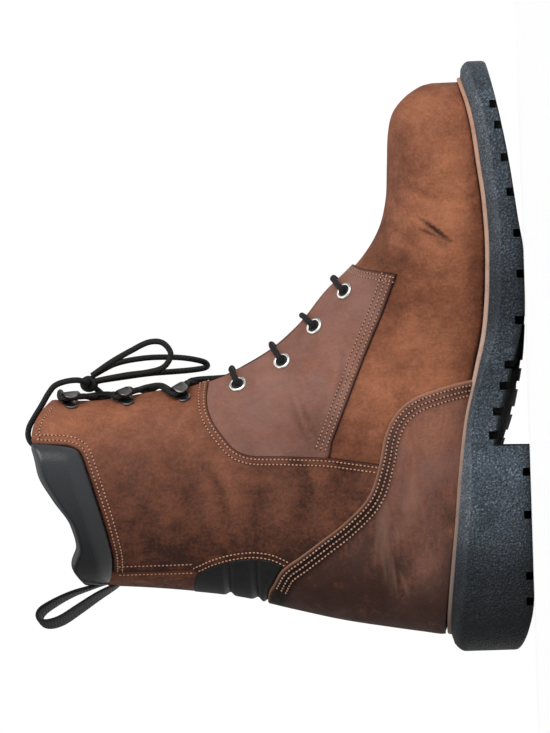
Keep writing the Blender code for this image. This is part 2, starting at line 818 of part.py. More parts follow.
def facing_frame(edge, side, lift):
    """A spot on a facing, with the directions out of it, towards the throat and up along it."""
    station, climb = locate(edge, side)
    spot = surface(station, climb, side, lift)
    out = (surface(station, climb, side, lift + 0.001) - spot).normalized()
    ahead = surface(station, min(climb + 0.02, 1.0), side, lift) - spot
    ahead = (ahead - out * ahead.dot(out)).normalized()
    return spot, out, ahead, out.cross(ahead)


def eyelet(name, edge, side):
    spot, out, ahead, along = facing_frame(edge, side, TRIM_LIFT)
    sections = []
    for i in range(EYELET_SIDES):
        turn = 2 * math.pi * i / EYELET_SIDES
        ray = ahead * math.cos(turn) + along * math.sin(turn)
        section = []
        for radius, height in (
            (EYELET_HOLE, 0.35),
            (EYELET_RADIUS, 0.35),
            (EYELET_RADIUS - 0.8, EYELET_HEIGHT + 0.35),
            (EYELET_HOLE + 0.3, EYELET_HEIGHT + 0.35),
        ):
            section.append(spot + (ray * radius + out * height) * 0.001)
        sections.append(section)
    return skin(name, sections, closed=True)


# Side profile of a lace hook: ahead towards the throat, and out from the leather
Bend = namedtuple("Bend", "ahead out")
HOOK_BENDS = [
    Bend(-4.2, 0.5),
    Bend(2.6, 0.5),
    Bend(4.6, 1.6),
    Bend(5.2, 3.4),
    Bend(4.0, 5.2),
    Bend(1.6, 6.0),
    Bend(-2.6, 5.8),
]


def hook(name, edge, side):
    spot, out, ahead, along = facing_frame(edge, side, SEAT_GAP)
    sections = []
    for i, bend in enumerate(HOOK_BENDS):
        before, after = HOOK_BENDS[max(i - 1, 0)], HOOK_BENDS[min(i + 1, len(HOOK_BENDS) - 1)]
        run = Vector((after.ahead - before.ahead, after.out - before.out)).normalized()
        thick = HOOK_METAL / 2
        half = HOOK_WIDTH / 2 * (0.75 if i in (0, len(HOOK_BENDS) - 1) else 1.0)
        section = []
        for way, edge_way in ((1, 1), (1, -1), (-1, -1), (-1, 1)):
            forward = bend.ahead - run.y * thick * way
            outward = bend.out + run.x * thick * way + 0.3
            section.append(spot + (ahead * forward + out * outward + along * half * edge_way) * 0.001)
        sections.append(section)
    return skin(name, sections, closed=False)


def fittings():
    for side, word in ((INNER, "inner"), (OUTER, "outer")):
        for i, edge in enumerate(EYELETS):
            eyelet(f"eyelet_{word}_{i + 1}", edge, side)
        for i, edge in enumerate(HOOKS):
            hook(f"hook_{word}_{i + 1}", edge, side)


# Laces: round cord through the eyelets and over the hooks, tied in front of the top pair
LACE_RADIUS = 0.00175
LACE_CLEAR = 0.0004
LACE_LIFT = TRIM_LIFT + LACE_CLEAR + LACE_RADIUS
OVER_EYELET = LACE_LIFT + (EYELET_HEIGHT + 0.9) * 0.001
HOOK_STEP = 0.0062
KNOT = (146.95, -1.0, 228.0)
KNOT_SIZE = (4.6, 6.0, 5.0)

# Routes of the tied cord from the knot: the bow's two loops hang in front, its inner end lies over the tongue
# into the collar, and its outer end hangs down the outer side
Spot = namedtuple("Spot", "x y z")
LOOP_FRONT = [
    Spot(151.2, -4.6, 226.1),
    Spot(157.8, -7.2, 216.0),
    Spot(163.4, -8.4, 205.5),
    Spot(167.6, -9.0, 196.0),
    Spot(167.0, -9.6, 188.6),
    Spot(161.0, -10.2, 184.6),
    Spot(154.6, -10.4, 188.4),
    Spot(152.2, -10.0, 196.4),
    Spot(151.0, -8.6, 208.0),
    Spot(148.9, -5.6, 221.5),
]
LOOP_FAR = [
    Spot(151.2, 2.4, 225.9),
    Spot(157.0, 4.4, 214.0),
    Spot(159.4, 4.8, 200.0),
    Spot(159.6, 5.0, 187.0),
    Spot(158.6, 6.0, 176.4),
    Spot(156.4, 10.2, 168.0),
    Spot(153.8, 16.2, 167.2),
    Spot(152.6, 20.4, 174.2),
    Spot(152.0, 20.8, 184.5),
    Spot(151.4, 17.2, 197.0),
    Spot(150.0, 10.8, 210.0),
    Spot(148.6, 3.8, 221.5),
]
OUTER_END_START = [Spot(147.6, 5.3, 228.6), Spot(147.9, 12.5, 228.6), Spot(144.0, 21.5, 225.0)]
OUTER_END_HANG = [
    Edge(132.0, 214.0),
    Edge(129.5, 200.0),
    Edge(128.5, 184.0),
    Edge(128.0, 168.0),
    Edge(127.5, 152.0),
    Edge(127.0, 138.0),
]
INNER_END = [
    Spot(147.4, -7.4, 228.4),
    Spot(147.9, -10.8, 229.4),
    Spot(149.1, -13.0, 233.4),
    Spot(148.6, -13.4, 239.6),
    Spot(146.6, -13.4, 245.2),
    Spot(142.4, -13.4, 248.8),
    Spot(136.5, -13.4, 252.4),
    Spot(130.4, -13.4, 256.4),
    Spot(125.4, -13.4, 259.2),
    Spot(120.6, -13.4, 259.8),
    Spot(116.5, -13.4, 257.6),
    Spot(114.3, -13.4, 253.0),
    Spot(113.6, -13.4, 246.5),
    Spot(113.3, -13.5, 238.0),
    Spot(113.1, -13.6, 229.0),
    Spot(113.0, -13.7, 221.0),
]


def smooth_route(points, steps):
    """Points on a smooth line through a route."""
    route = []
    for i in range(len(points) - 1):
        rows = [points[min(max(i + step, 0), len(points) - 1)] for step in (-1, 0, 1, 2)]
        for k in range(steps):
            share = k / steps
            route.append(
                Vector([hermite(b, c, (c - a) / 2, (d - b) / 2, share) for a, b, c, d in zip(*rows)])
            )
    return route + [Vector(points[-1])]


def tube(name, points, radius):
    """A round cord along a line of points in metres."""
    curve = bpy.data.curves.new(name, "CURVE")
    curve.dimensions = "3D"
    curve.bevel_depth = radius
    curve.bevel_resolution = 1
    curve.use_fill_caps = True
    path = curve.splines.new("POLY")
    path.points.add(len(points) - 1)
    for point, spot in zip(path.points, points):
        point.co = (*spot, 1.0)
    line = bpy.data.objects.new(name + "_line", curve)
    bpy.context.collection.objects.link(line)
    bpy.context.view_layer.update()
    mesh = bpy.data.meshes.new_from_object(line.evaluated_get(bpy.context.evaluated_depsgraph_get()))
    bpy.data.objects.remove(line, do_unlink=True)
    piece = bpy.data.objects.new(name, mesh)
    bpy.context.collection.objects.link(piece)
    join_close_points(piece)
    face_outwards(piece)
    return piece


def throat_point(station, share, lift):
    """A point across the throat: share 0 is the inner facing's edge and 1 the outer one's."""
    inner, outer = (surface(station, 1.0, side, lift) for side in SIDES)
    return inner.lerp(outer, share)


def edge_spot(edge, side, up_step):
    """A point over a facing's edge, a step up or down from a hook."""
    spot, out, ahead, along = facing_frame(edge, side, LACE_LIFT + 0.0006)
    upward = along if along.z > 0 else -along
    return spot + ahead * 0.0042 + upward * up_step


def crossing(name, starts, ends, middle):
    """Two cords that cross on each other in the middle of the throat, joined there."""
    first = tube(name, smooth_route([*starts[0], middle, *ends[1]], 2), LACE_RADIUS)
    route = smooth_route([*starts[1], middle, *ends[0]], 2)
    second = hidden(tube(name + "_other", route, LACE_RADIUS * 0.99))
    cut(first, second, "UNION")


def laces():
    spots = EYELETS + HOOKS
    stations = [locate(edge, INNER)[0] for edge in spots]
    for i in range(len(spots) - 1):
        station, follow = stations[i], stations[i + 1]
        starts, ends = [], []
        for side in SIDES:
            if i < len(EYELETS):
                spot, out, ahead, along = facing_frame(spots[i], side, OVER_EYELET)
                rim = surface(station + 0.1, 1.0, side, OVER_EYELET)
                starts.append([spot, rim])
            else:
                rim = surface(station + 0.2 * (follow - station), 1.0, side, LACE_LIFT)
                starts.append([edge_spot(spots[i], side, HOOK_STEP), rim])
            if i + 1 < len(EYELETS):
                share = 0.16 if side == INNER else 0.84
                ends.append([throat_point(station + 0.78 * (follow - station), share, 0.0016)])
            else:
                rim = surface(station + 0.6 * (follow - station), 1.0, side, LACE_LIFT)
                ends.append([rim, edge_spot(spots[i + 1], side, -HOOK_STEP)])
        middle = throat_point(station + 0.5 * (follow - station), 0.5, LACE_LIFT)
        crossing(f"lace_crossing_{i + 1}", starts, ends, middle)
    tops = [edge_spot(HOOKS[-1], side, HOOK_STEP) for side in SIDES]
    middle = tops[0].lerp(tops[1], 0.5) + Vector((0.003, 0.0, 0.0))
    tube("lace_top_bar", smooth_route([tops[0], middle, tops[1]], 3), LACE_RADIUS)


def knot():
    work = bmesh.new()
    bmesh.ops.create_uvsphere(work, u_segments=8, v_segments=6, radius=0.001)
    bmesh.ops.scale(work, vec=KNOT_SIZE, verts=work.verts)
    bmesh.ops.translate(work, vec=placed(*KNOT), verts=work.verts)
    mesh = bpy.data.meshes.new("lace_knot")
    work.to_mesh(mesh)
    work.free()
    bpy.context.collection.objects.link(bpy.data.objects.new("lace_knot", mesh))


def tied_cord():
    knot()
    routes = {"lace_loop_front": LOOP_FRONT, "lace_loop_far": LOOP_FAR, "lace_end_inner": INNER_END}
    for name, route in routes.items():
        tube(name, smooth_route([placed(*spot) for spot in route], 1), LACE_RADIUS)
    route = [placed(*spot) for spot in OUTER_END_START]
    route += [surface(*locate(edge, OUTER), OUTER, LACE_LIFT) for edge in OUTER_END_HANG]
    tube("lace_end_outer", smooth_route(route, 1), LACE_RADIUS)


def clear_scene():
    for old in list(bpy.data.objects):
        bpy.data.objects.remove(old, do_unlink=True)


def build():
    clear_scene()
    upper()
    tongue()
    welt()
    insole()
    outsole()
    overlays()
    pull_loop()
    fittings()
    laces()
    tied_cord()


build()
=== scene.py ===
import math

import bmesh
import bpy
import numpy as np
from mathutils import Matrix, Vector


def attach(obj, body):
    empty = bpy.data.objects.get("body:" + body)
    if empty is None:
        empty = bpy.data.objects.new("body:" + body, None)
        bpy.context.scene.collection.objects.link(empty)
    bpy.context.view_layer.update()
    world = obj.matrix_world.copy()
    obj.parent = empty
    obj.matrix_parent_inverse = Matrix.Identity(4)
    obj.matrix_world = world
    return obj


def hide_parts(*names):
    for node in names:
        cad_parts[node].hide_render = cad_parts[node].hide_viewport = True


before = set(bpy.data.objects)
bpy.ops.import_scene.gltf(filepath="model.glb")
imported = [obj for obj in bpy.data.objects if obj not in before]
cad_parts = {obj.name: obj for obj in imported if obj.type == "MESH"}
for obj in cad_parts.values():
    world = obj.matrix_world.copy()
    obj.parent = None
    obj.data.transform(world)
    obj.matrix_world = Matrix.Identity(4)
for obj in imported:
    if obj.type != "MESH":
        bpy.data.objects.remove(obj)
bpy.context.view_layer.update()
print("frame loaded:", len(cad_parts), "solids")

inner, outer = -1, 1  # sides of this left boot: inner is -Y, outer is +Y
mm = 0.001  # sizes are in millimetres, except the studio's and the textures' own

# The last, as in the part's source, in millimetres from the back of the sole and from the floor.
# One row a section: base x, base z, top x, top z, foot inner, foot outer, wide inner, wide outer,
# share of the height where it is widest, sideways place of the ridge, squareness over the top.
lastRows = np.array(
    [
        (297.6, 31.4, 297.4, 45.0, 7.0, -7.0, 7.0, -7.0, 0.45, -7.0, 2.4),
        (296.2, 31.0, 295.6, 51.5, 16.5, 3.0, 18.0, 4.5, 0.44, -7.0, 2.4),
        (291.5, 29.6, 290.0, 59.8, 26.0, 13.5, 28.0, 15.5, 0.42, -6.8, 2.4),
        (283.0, 27.0, 282.0, 66.0, 33.5, 21.5, 36.5, 24.5, 0.40, -6.5, 2.5),
        (271.0, 24.8, 271.0, 68.6, 38.8, 29.0, 42.5, 32.5, 0.38, -6.0, 2.5),
        (254.0, 22.8, 255.0, 69.6, 42.3, 36.0, 46.5, 40.0, 0.36, -5.4, 2.45),
        (234.0, 20.5, 237.0, 70.9, 44.0, 41.8, 48.3, 46.0, 0.34, -4.8, 2.35),
        (213.0, 19.6, 221.0, 75.7, 43.5, 46.0, 48.0, 50.0, 0.32, -4.2, 2.2),
        (192.0, 20.2, 205.5, 86.5, 39.8, 47.0, 44.5, 51.0, 0.30, -3.6, 2.1),
        (170.0, 22.3, 190.5, 103.5, 34.0, 44.0, 40.0, 48.5, 0.29, -3.0, 2.0),
        (147.0, 27.5, 175.0, 117.6, 29.5, 39.0, 37.0, 44.0, 0.29, -2.4, 2.0),
        (122.0, 33.6, 162.5, 133.5, 28.3, 35.0, 35.8, 40.5, 0.30, -1.8, 2.0),
        (96.0, 37.3, 153.5, 151.0, 29.5, 33.0, 36.0, 38.8, 0.33, -1.2, 2.0),
        (70.0, 40.0, 147.8, 165.5, 31.0, 32.0, 36.8, 38.2, 0.38, -0.8, 2.05),
        (46.0, 43.0, 145.4, 177.0, 30.0, 30.5, 37.2, 38.0, 0.43, -0.4, 2.1),
        (27.0, 45.2, 144.6, 187.0, 24.8, 25.2, 37.5, 38.0, 0.47, -0.2, 2.15),
        (17.0, 46.2, 143.6, 195.0, 15.0, 15.2, 37.8, 38.2, 0.49, 0.0, 2.2),
        (13.3, 47.0, 142.6, 202.0, 0.0, 0.0, 38.0, 38.4, 0.50, 0.0, 2.2),
        (14.8, 58.0, 141.6, 208.5, -15.0, -15.2, 38.4, 38.8, 0.50, 0.0, 2.2),
        (18.0, 77.0, 140.4, 215.5, 0.0, 0.0, 38.9, 39.2, 0.50, 0.0, 2.25),
        (22.3, 100.0, 139.4, 223.0, 0.0, 0.0, 39.4, 39.6, 0.50, 0.0, 2.25),
        (28.5, 125.0, 139.0, 231.0, 0.0, 0.0, 39.9, 40.1, 0.50, 0.0, 2.3),
        (35.0, 150.0, 139.2, 239.0, 0.0, 0.0, 40.4, 40.6, 0.50, 0.0, 2.3),
        (39.0, 176.0, 139.8, 247.0, 0.0, 0.0, 40.9, 41.1, 0.50, 0.0, 2.3),
        (42.0, 205.0, 140.6, 255.5, 0.0, 0.0, 41.5, 41.7, 0.50, 0.0, 2.35),
        (43.5, 232.0, 141.4, 264.0, 0.0, 0.0, 42.2, 42.4, 0.50, 0.0, 2.35),
        (43.8, 258.0, 142.0, 272.5, 0.0, 0.0, 43.0, 43.2, 0.50, 0.0, 2.35),
    ]
)
last = {
    "heelCentre": 55.0,  # the frame's origin, from the back of the sole
    "heelBack": 17.0,  # row of the section that leans up from the back of the heel
    "top": 26.0,  # row over the collar
    "lowerShare": 0.42,  # climb at the widest place
    "wall": 2.4,
    "calm": 0.1,  # climb over which the creases die out below the ridge
    "facings": [(8.0, 0.0), (8.4, 5.0), (9.5, 8.5), (13.0, 10.5), (26.0, 13.0)],
    "collar": [
        (30.0, 228.8), (44.0, 232.2), (53.0, 236.0), (63.5, 232.3), (74.0, 234.6), (87.0, 243.0),
        (100.0, 250.2), (110.0, 252.4), (116.0, 255.2), (120.0, 257.0), (124.0, 256.5), (133.0, 252.0),
        (141.0, 244.0), (150.0, 234.0),
    ],
}


def hermite(start, end, startSlope, endSlope, share):
    rest = 1.0 - share
    return (
        start * (1 + 2 * share) * rest * rest
        + startSlope * share * rest * rest
        + end * share * share * (3 - 2 * share)
        - endSlope * share * share * rest
    )


def smoothTable(rows, at):  # smooth value of a two-column table that never overshoots its rows
    keys, values = np.array(rows, float).T
    rises = np.diff(values) / np.diff(keys)
    before = np.concatenate([rises[:1], rises])
    after = np.concatenate([rises, rises[-1:]])
    total = np.where(before * after > 0, before + after, 1.0)
    slopes = np.where(before * after > 0, 2 * before * after / total, 0.0)
    at = np.asarray(at, float)
    place = np.clip(np.searchsorted(keys, at) - 1, 0, len(keys) - 2)
    width = keys[place + 1] - keys[place]
    share = np.clip((at - keys[place]) / width, 0.0, 1.0)
    return hermite(values[place], values[place + 1], slopes[place] * width, slopes[place + 1] * width, share)


def eased(share):
    return share * share * (3 - 2 * share)


def unit(rows):
    return rows / np.maximum(np.linalg.norm(rows, axis=-1, keepdims=True), 1e-9)


def throughRows(rows, at):  # smooth values between the rows of a table, at places counted in rows
    place = np.minimum(at.astype(int), len(rows) - 2)
    a, b, c, d = (rows[np.clip(place + step, 0, len(rows) - 1)] for step in (-1, 0, 1, 2))
    return hermite(b, c, (c - a) / 2, (d - b) / 2, (at - place)[:, None])


def sectionAt(station):
    return throughRows(lastRows, station).T


def halfGap(station):
    return np.where(station <= last["facings"][0][0], 0.0, smoothTable(last["facings"], station))


def sideTurn(section, station, side):  # a side's widest place, its reach from the ridge, the turn at the sole
    footIn, footOut, wideIn, wideOut, _, ridge, _ = section[4:]
    foot, wide = (footOut, wideOut) if side == outer else (-footIn, -wideIn)
    reach = np.maximum(np.abs(wide - ridge), 1e-6)
    start = np.arcsin(np.minimum(np.abs(foot - ridge) / reach, 0.98))
    start = np.where(reach > 0.1, start, 1.0)
    return wide, reach, np.where(station >= last["heelBack"], 0.0, start)


def lastPoint(station, climb, side, gap):  # climb 0 is the sole or the back, 1 the top or the front
    section = sectionAt(station)
    baseX, baseZ, topX, topZ = section[:4]
    wideAt, ridge, arch = section[8:]
    wide, reach, start = sideTurn(section, station, side)
    low = last["lowerShare"]
    lowTurn = start + np.minimum(climb / low, 1.0) * (math.pi / 2 - start)
    stop = np.arccos(np.minimum(gap / reach, 1.0) ** (arch / 2))
    highTurn = np.clip((climb - low) / (1 - low), 0.0, 1.0) * stop
    lowRise = wideAt * (1 - np.cos(lowTurn) / np.cos(start))
    highRise = wideAt + (1 - wideAt) * np.sin(highTurn) ** (2 / arch)
    rise = np.where(climb < low, lowRise, highRise)
    bulge = np.where(climb < low, np.sin(lowTurn), np.maximum(np.cos(highTurn), 0.0) ** (2 / arch))
    spot = [baseX + (topX - baseX) * rise, ridge + (wide - ridge) * bulge, baseZ + (topZ - baseZ) * rise]
    return np.stack(spot, 1)


def lastNormal(station, climb, side, gap):
    step = 0.02
    lowS = np.maximum(station - step, 0.03)  # the tip of the toe has no direction of its own
    highS = np.minimum(np.maximum(station + step, 0.07), last["top"])
    lowC, highC = np.maximum(climb - step, 0.0), np.minimum(climb + step, 1.0)
    along = lastPoint(highS, climb, side, gap) - lastPoint(lowS, climb, side, gap)
    over = lastPoint(station, highC, side, gap) - lastPoint(station, lowC, side, gap)
    return unit(np.cross(along, over) * side)


def lineMarks(points):  # length along a line up to each of its points
    return np.concatenate([[0.0], np.cumsum(np.linalg.norm(np.diff(points, axis=0), axis=1))])


def lineDistance(points, line):  # distance to a line of points, and the share along it of the nearest place
    best, share = np.full(len(points), 1e9), np.zeros(len(points))
    marks = lineMarks(line)
    for i in range(len(line) - 1):
        run = line[i + 1] - line[i]
        t = np.clip(((points - line[i]) @ run) / max(run @ run, 1e-12), 0.0, 1.0)
        away = np.linalg.norm(points - line[i] - t[:, None] * run, axis=1)
        nearer = away < best
        best = np.where(nearer, away, best)
        share = np.where(nearer, (marks[i] + t * (marks[i + 1] - marks[i])) / marks[-1], share)
    return best, share


def outlineDistance(points, outline):  # positive inside a closed outline
    away, _ = lineDistance(points, np.concatenate([outline, outline[:1]]))
    inside = np.zeros(len(points), bool)
    for (x0, z0), (x1, z1) in zip(outline, np.roll(outline, -1, 0)):
        if z0 == z1:
            continue
        crosses = (z0 > points[:, 1]) != (z1 > points[:, 1])
        inside ^= crosses & (points[:, 0] < (x1 - x0) * (points[:, 1] - z0) / (z1 - z0) + x0)
    return np.where(inside, away, -away)


def smoothLine(points, steps):  # points on a smooth line through a few
    return throughRows(np.array(points, float), np.arange((len(points) - 1) * steps + 1) / steps)


def evenLine(points, spacing):
    marks = lineMarks(points)
    at = np.linspace(0.0, marks[-1], max(int(marks[-1] / spacing), 2) + 1)
    return np.stack([np.interp(at, marks, column) for column in points.T], 1)


def shifted(line, distance):  # a line moved to its left, seen from the side with the toe to the right
    run = unit(np.gradient(line, axis=0))
    return line + np.stack([-run[:, 1], run[:, 0]], 1) * distance


# Creases and dents of the worn leather, as seen from the side: width, depth inwards, wear (pale ridges, with
# painted shade in the trough) and line
creases = [
    # eyestay, fanning out below the third eyelet
    (1.3, 0.55, 0.3, [(155.8, 120.4), (146.1, 115.6), (139.4, 112.2), (133.0, 108.6)]),
    (1.1, 0.4, 0.28, [(152.2, 121.8), (143.2, 117.2), (136.6, 114.4), (129.9, 111.0)]),
    (1.6, 0.52, 0.3, [(146.3, 127.4), (134.6, 122.6), (124.3, 120.0), (112.6, 114.6)]),
    (1.0, 0.34, 0.25, [(139.7, 122.8), (130.2, 120.5), (120.5, 117.2), (114.5, 113.7)]),
    (1.2, 0.44, 0.28, [(143.4, 120.0), (131.5, 116.1), (122.6, 112.7), (116.2, 110.0)]),
    (1.6, 0.45, 1.0, [(162.3, 94.5), (146.0, 95.4), (130.6, 101.0)]),
    # vamp over the ball of the foot
    (4.4, 0.8, 1.0, [(228.0, 70.0), (219.0, 58.0), (214.0, 44.0), (214.0, 32.0)]),
    (3.8, 0.6, 1.0, [(240.0, 69.0), (233.0, 57.0), (229.0, 45.0)]),
    (4.2, 0.7, 1.0, [(212.0, 72.0), (205.0, 57.0), (196.0, 45.0)]),
    (2.6, 0.35, 1.0, [(247.0, 66.0), (240.0, 50.0), (236.0, 34.0)]),
    (2.4, 0.4, 1.0, [(221.0, 64.0), (209.0, 50.0), (203.0, 38.0)]),
    # shaft and heel
    (6.0, 0.9, 1.0, [(129.0, 205.0), (112.0, 186.0), (86.0, 178.0), (60.0, 180.0)]),
    (5.0, 0.8, 1.0, [(120.0, 150.0), (92.0, 140.0), (62.0, 142.0)]),
    (4.0, 0.6, 1.0, [(112.0, 122.0), (88.0, 116.0), (64.0, 124.0)]),
    (3.0, 0.4, 1.0, [(104.0, 168.0), (88.0, 160.0), (70.0, 160.0)]),
    (6.0, 0.6, 1.0, [(66.0, 54.0), (48.0, 66.0), (36.0, 84.0)]),
]
creaseShape = {  # the leather swells into a ridge beside each trough, worn pale, and the trough is darkened with painted shade
    "ridgeAt": 1.9, "ridgeSpread": 0.8, "ridgeLift": 0.45, "ridgePale": 0.3, "troughPaintedShade": 0.5, "finest": 1.4,
    "fade": 0.7,
}


def relief(view):  # how far the creases lift the leather, how much they wear its ridges pale, and the painted shade in their troughs
    lift, wearAndPaintedLight = np.zeros(len(view)), np.zeros(len(view))
    for width, depth, wear, line in creases:
        away, share = lineDistance(view, smoothLine(line, 6))
        fade = np.sin(np.clip(share, 0.02, 0.98) * math.pi) ** creaseShape["fade"]
        across = away / width
        trough = np.exp(-across * across)
        ridge = np.exp(-((across - creaseShape["ridgeAt"]) ** 2) / creaseShape["ridgeSpread"])
        lift += depth * fade * (creaseShape["ridgeLift"] * ridge - trough)
        tint = creaseShape["ridgePale"] * ridge - creaseShape["troughPaintedShade"] * trough
        wearAndPaintedLight += wear * fade * tint / max(width, creaseShape["finest"])
    return lift, wearAndPaintedLight


def onUpper(station, climb, side, lift, laced=True):  # points over the upper, lifted off its leather
    gap = halfGap(station) if laced else np.zeros(len(station))
    point = lastPoint(station, climb, side, gap)
    normal = lastNormal(station, climb, side, gap)
    calm = eased(np.clip((1 - climb) / last["calm"], 0.0, 1.0))
    move = lift + relief(point[:, [0, 2]])[0] * calm
    return point + normal * move[:, None]


def fromSide(view, side):  # station and climb of the leather that shows at places seen from the side
    slack = 0.05  # how far past a section's ends a place may lie
    stations = np.linspace(0.0, last["top"], 1041)
    rows = sectionAt(stations)
    base, run = rows[0:2].T, (rows[2:4] - rows[0:2]).T
    found = []
    for spot in view:
        off = spot - base
        cross = run[:, 0] * off[:, 1] - run[:, 1] * off[:, 0]
        rise = (off * run).sum(1) / (run * run).sum(1)
        within = (rise[:-1] > -slack) & (rise[:-1] < 1.0 + slack)
        flips = np.nonzero((cross[:-1] * cross[1:] <= 0) & within)[0]
        if len(flips):
            i = flips[0]
            found.append(stations[i] + (stations[i + 1] - stations[i]) * cross[i] / (cross[i] - cross[i + 1]))
        else:
            found.append(stations[np.argmin(np.abs(cross))])
    station = np.clip(np.array(found), 0.02, last["top"] - 1e-6)
    section = sectionAt(station)
    base, run = section[0:2].T, (section[2:4] - section[0:2]).T
    rise = np.clip(((view - base) * run).sum(1) / (run * run).sum(1), 0.0, 1.0)
    wideAt, _, arch = section[8:]
    _, reach, start = sideTurn(section, station, side)
    low = last["lowerShare"]
    lowTurn = np.arccos(np.clip((1 - rise / wideAt) * np.cos(start), -1.0, 1.0))
    lowClimb = low * (lowTurn - start) / (math.pi / 2 - start)
    stop = np.arccos(np.minimum(halfGap(station) / reach, 1.0) ** (arch / 2))
    highTurn = np.arcsin(np.clip((rise - wideAt) / (1 - wideAt), 0.0, 1.0) ** (arch / 2))
    highClimb = low + (1 - low) * highTurn / stop
    return station, np.clip(np.where(rise < wideAt, lowClimb, highClimb), 0.0, 1.0)


def crossingStation(climb, side, edge):  # where lines up the shaft reach an edge that is seen from the side
    low = np.full(len(climb), last["heelBack"])
    high = np.full(len(climb), last["top"])
    for _ in range(40):  # halved until it is exact
        middle = (low + high) / 2
        point = lastPoint(middle, climb, side, halfGap(middle))
        above = point[:, 2] > smoothTable(edge, point[:, 0])
        high = np.where(above, middle, high)
        low = np.where(above, low, middle)
    return low


climbKnots = np.linspace(0.0, 1.0, 201)
collarStations = {side: crossingStation(climbKnots, side, last["collar"]) for side in (inner, outer)}


def shaftStation(station, climb, side):  # stations over the heel draw together to end on the collar
    top = np.interp(climb, climbKnots, collarStations[side])
    share = np.clip((station - last["heelBack"]) / (last["top"] - last["heelBack"]), 0.0, None)
    return np.where(station <= last["heelBack"], station, last["heelBack"] + share * (top - last["heelBack"]))


def metres(points):
    return (np.asarray(points, float) - (last["heelCentre"], 0.0, 0.0)) * mm


# Soft patches of lighter and darker leather, partly its own uneven tone and partly painted light and shade,
# with painted shade along the top of the foot and the throat: place from the side, half sizes, and how much
# lighter
patches = [
    (286.0, 50.0, 14.0, 18.0, 0.15),
    (262.0, 64.0, 22.0, 10.0, -0.10),
    (250.0, 36.0, 34.0, 12.0, 0.25),
    (232.0, 62.0, 12.0, 12.0, 0.22),
    (232.0, 32.0, 14.0, 8.0, 0.20),
    (226.0, 76.0, 34.0, 7.0, -0.45),
    (216.0, 46.0, 16.0, 14.0, 0.35),
    (200.0, 24.0, 46.0, 6.0, -0.35),
    (204.0, 64.0, 9.0, 10.0, -0.30),
    (180.0, 66.0, 16.0, 7.0, -0.20),
    (165.0, 60.0, 13.0, 11.0, 0.40),
    (150.0, 44.0, 18.0, 10.0, 0.32),
    (138.0, 78.0, 14.0, 9.0, 0.25),
    (172.0, 92.0, 26.0, 18.0, 0.22),
    (150.0, 112.0, 14.0, 26.0, 0.12),
    (128.0, 136.0, 14.0, 14.0, -0.05),
    (119.0, 112.0, 13.0, 12.0, -0.35),
    (130.0, 206.0, 14.0, 44.0, 0.36),
    (124.0, 242.0, 14.0, 12.0, 0.25),
    (90.0, 120.0, 18.0, 14.0, -0.12),
    (118.0, 54.0, 22.0, 16.0, 0.52),
    (82.0, 64.0, 22.0, 14.0, 0.30),
    (104.0, 95.0, 22.0, 9.0, -0.28),
    (46.0, 58.0, 20.0, 14.0, 0.28),
]
# Painted shade: the leather darkens towards the heel, where its back turns away from the light
heelShade = [
    (0.0, -0.66), (22.0, -0.66), (36.0, -0.62), (50.0, -0.54), (65.0, -0.42), (82.0, -0.30), (100.0, -0.16),
    (118.0, 0.0),
]


def tone(view):  # painted shade darkens the leather towards the heel, the patches add its own tone with painted light and shade, and the creases wear pale with painted shade in their troughs
    shade = np.interp(view[:, 0], *zip(*heelShade))
    for x, z, wideX, wideZ, amount in patches:
        shade += amount * np.exp(-(((view[:, 0] - x) / wideX) ** 2) - ((view[:, 1] - z) / wideZ) ** 2)
    return shade + relief(view)[1]


def addObject(name, data):
    made = bpy.data.objects.new(name, data)
    bpy.context.scene.collection.objects.link(made)
    return made


def makePiece(name, points, faces, values, material):  # values are numbers on the points, by their labels
    mesh = bpy.data.meshes.new(name)
    mesh.from_pydata(metres(points).tolist(), [], [list(map(int, face)) for face in faces])
    for label, column in values.items():
        mesh.attributes.new(label, "FLOAT", "POINT").data.foreach_set("value", np.asarray(column, np.float32))
    mesh.materials.append(material)
    mergeClose(mesh, 1e-6)
    mesh.shade_smooth()
    return addObject(name, mesh)


def mergeClose(mesh, distance):
    work = bmesh.new()
    work.from_mesh(mesh)
    bmesh.ops.remove_doubles(work, verts=work.verts[:], dist=distance)
    bmesh.ops.dissolve_degenerate(work, edges=work.edges[:], dist=1e-7)
    work.to_mesh(mesh)
    work.free()


def applyModifiers(piece):
    bpy.context.view_layer.update()
    mesh = bpy.data.meshes.new_from_object(piece.evaluated_get(bpy.context.evaluated_depsgraph_get()))
    mesh.name = piece.name
    piece.modifiers.clear()
    piece.data = mesh
    return piece


def thicken(piece, thickness, material=None, even=True):
    wall = piece.modifiers.new("wall", "SOLIDIFY")
    wall.thickness = thickness * mm
    wall.offset = -1.0
    wall.use_even_offset = even
    if material:
        piece.data.materials.append(material)
        wall.material_offset = 1
    return applyModifiers(piece)


def settle(piece, slot, *nodes):
    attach(piece, "root")
    if nodes:
        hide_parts(*nodes)


def gridFaces(rows, columns, side):
    corner = (np.arange(rows - 1)[:, None] * columns + np.arange(columns - 1)[None, :]).ravel()
    first = np.stack([corner, corner + columns, corner + columns + 1], 1)
    second = np.stack([corner, corner + columns + 1, corner + 1], 1)
    faces = np.concatenate([first, second])
    return faces if side == outer else faces[:, ::-1]


def sheetGrid(stations, climbs):
    return np.repeat(stations, len(climbs)), np.tile(climbs, len(stations))


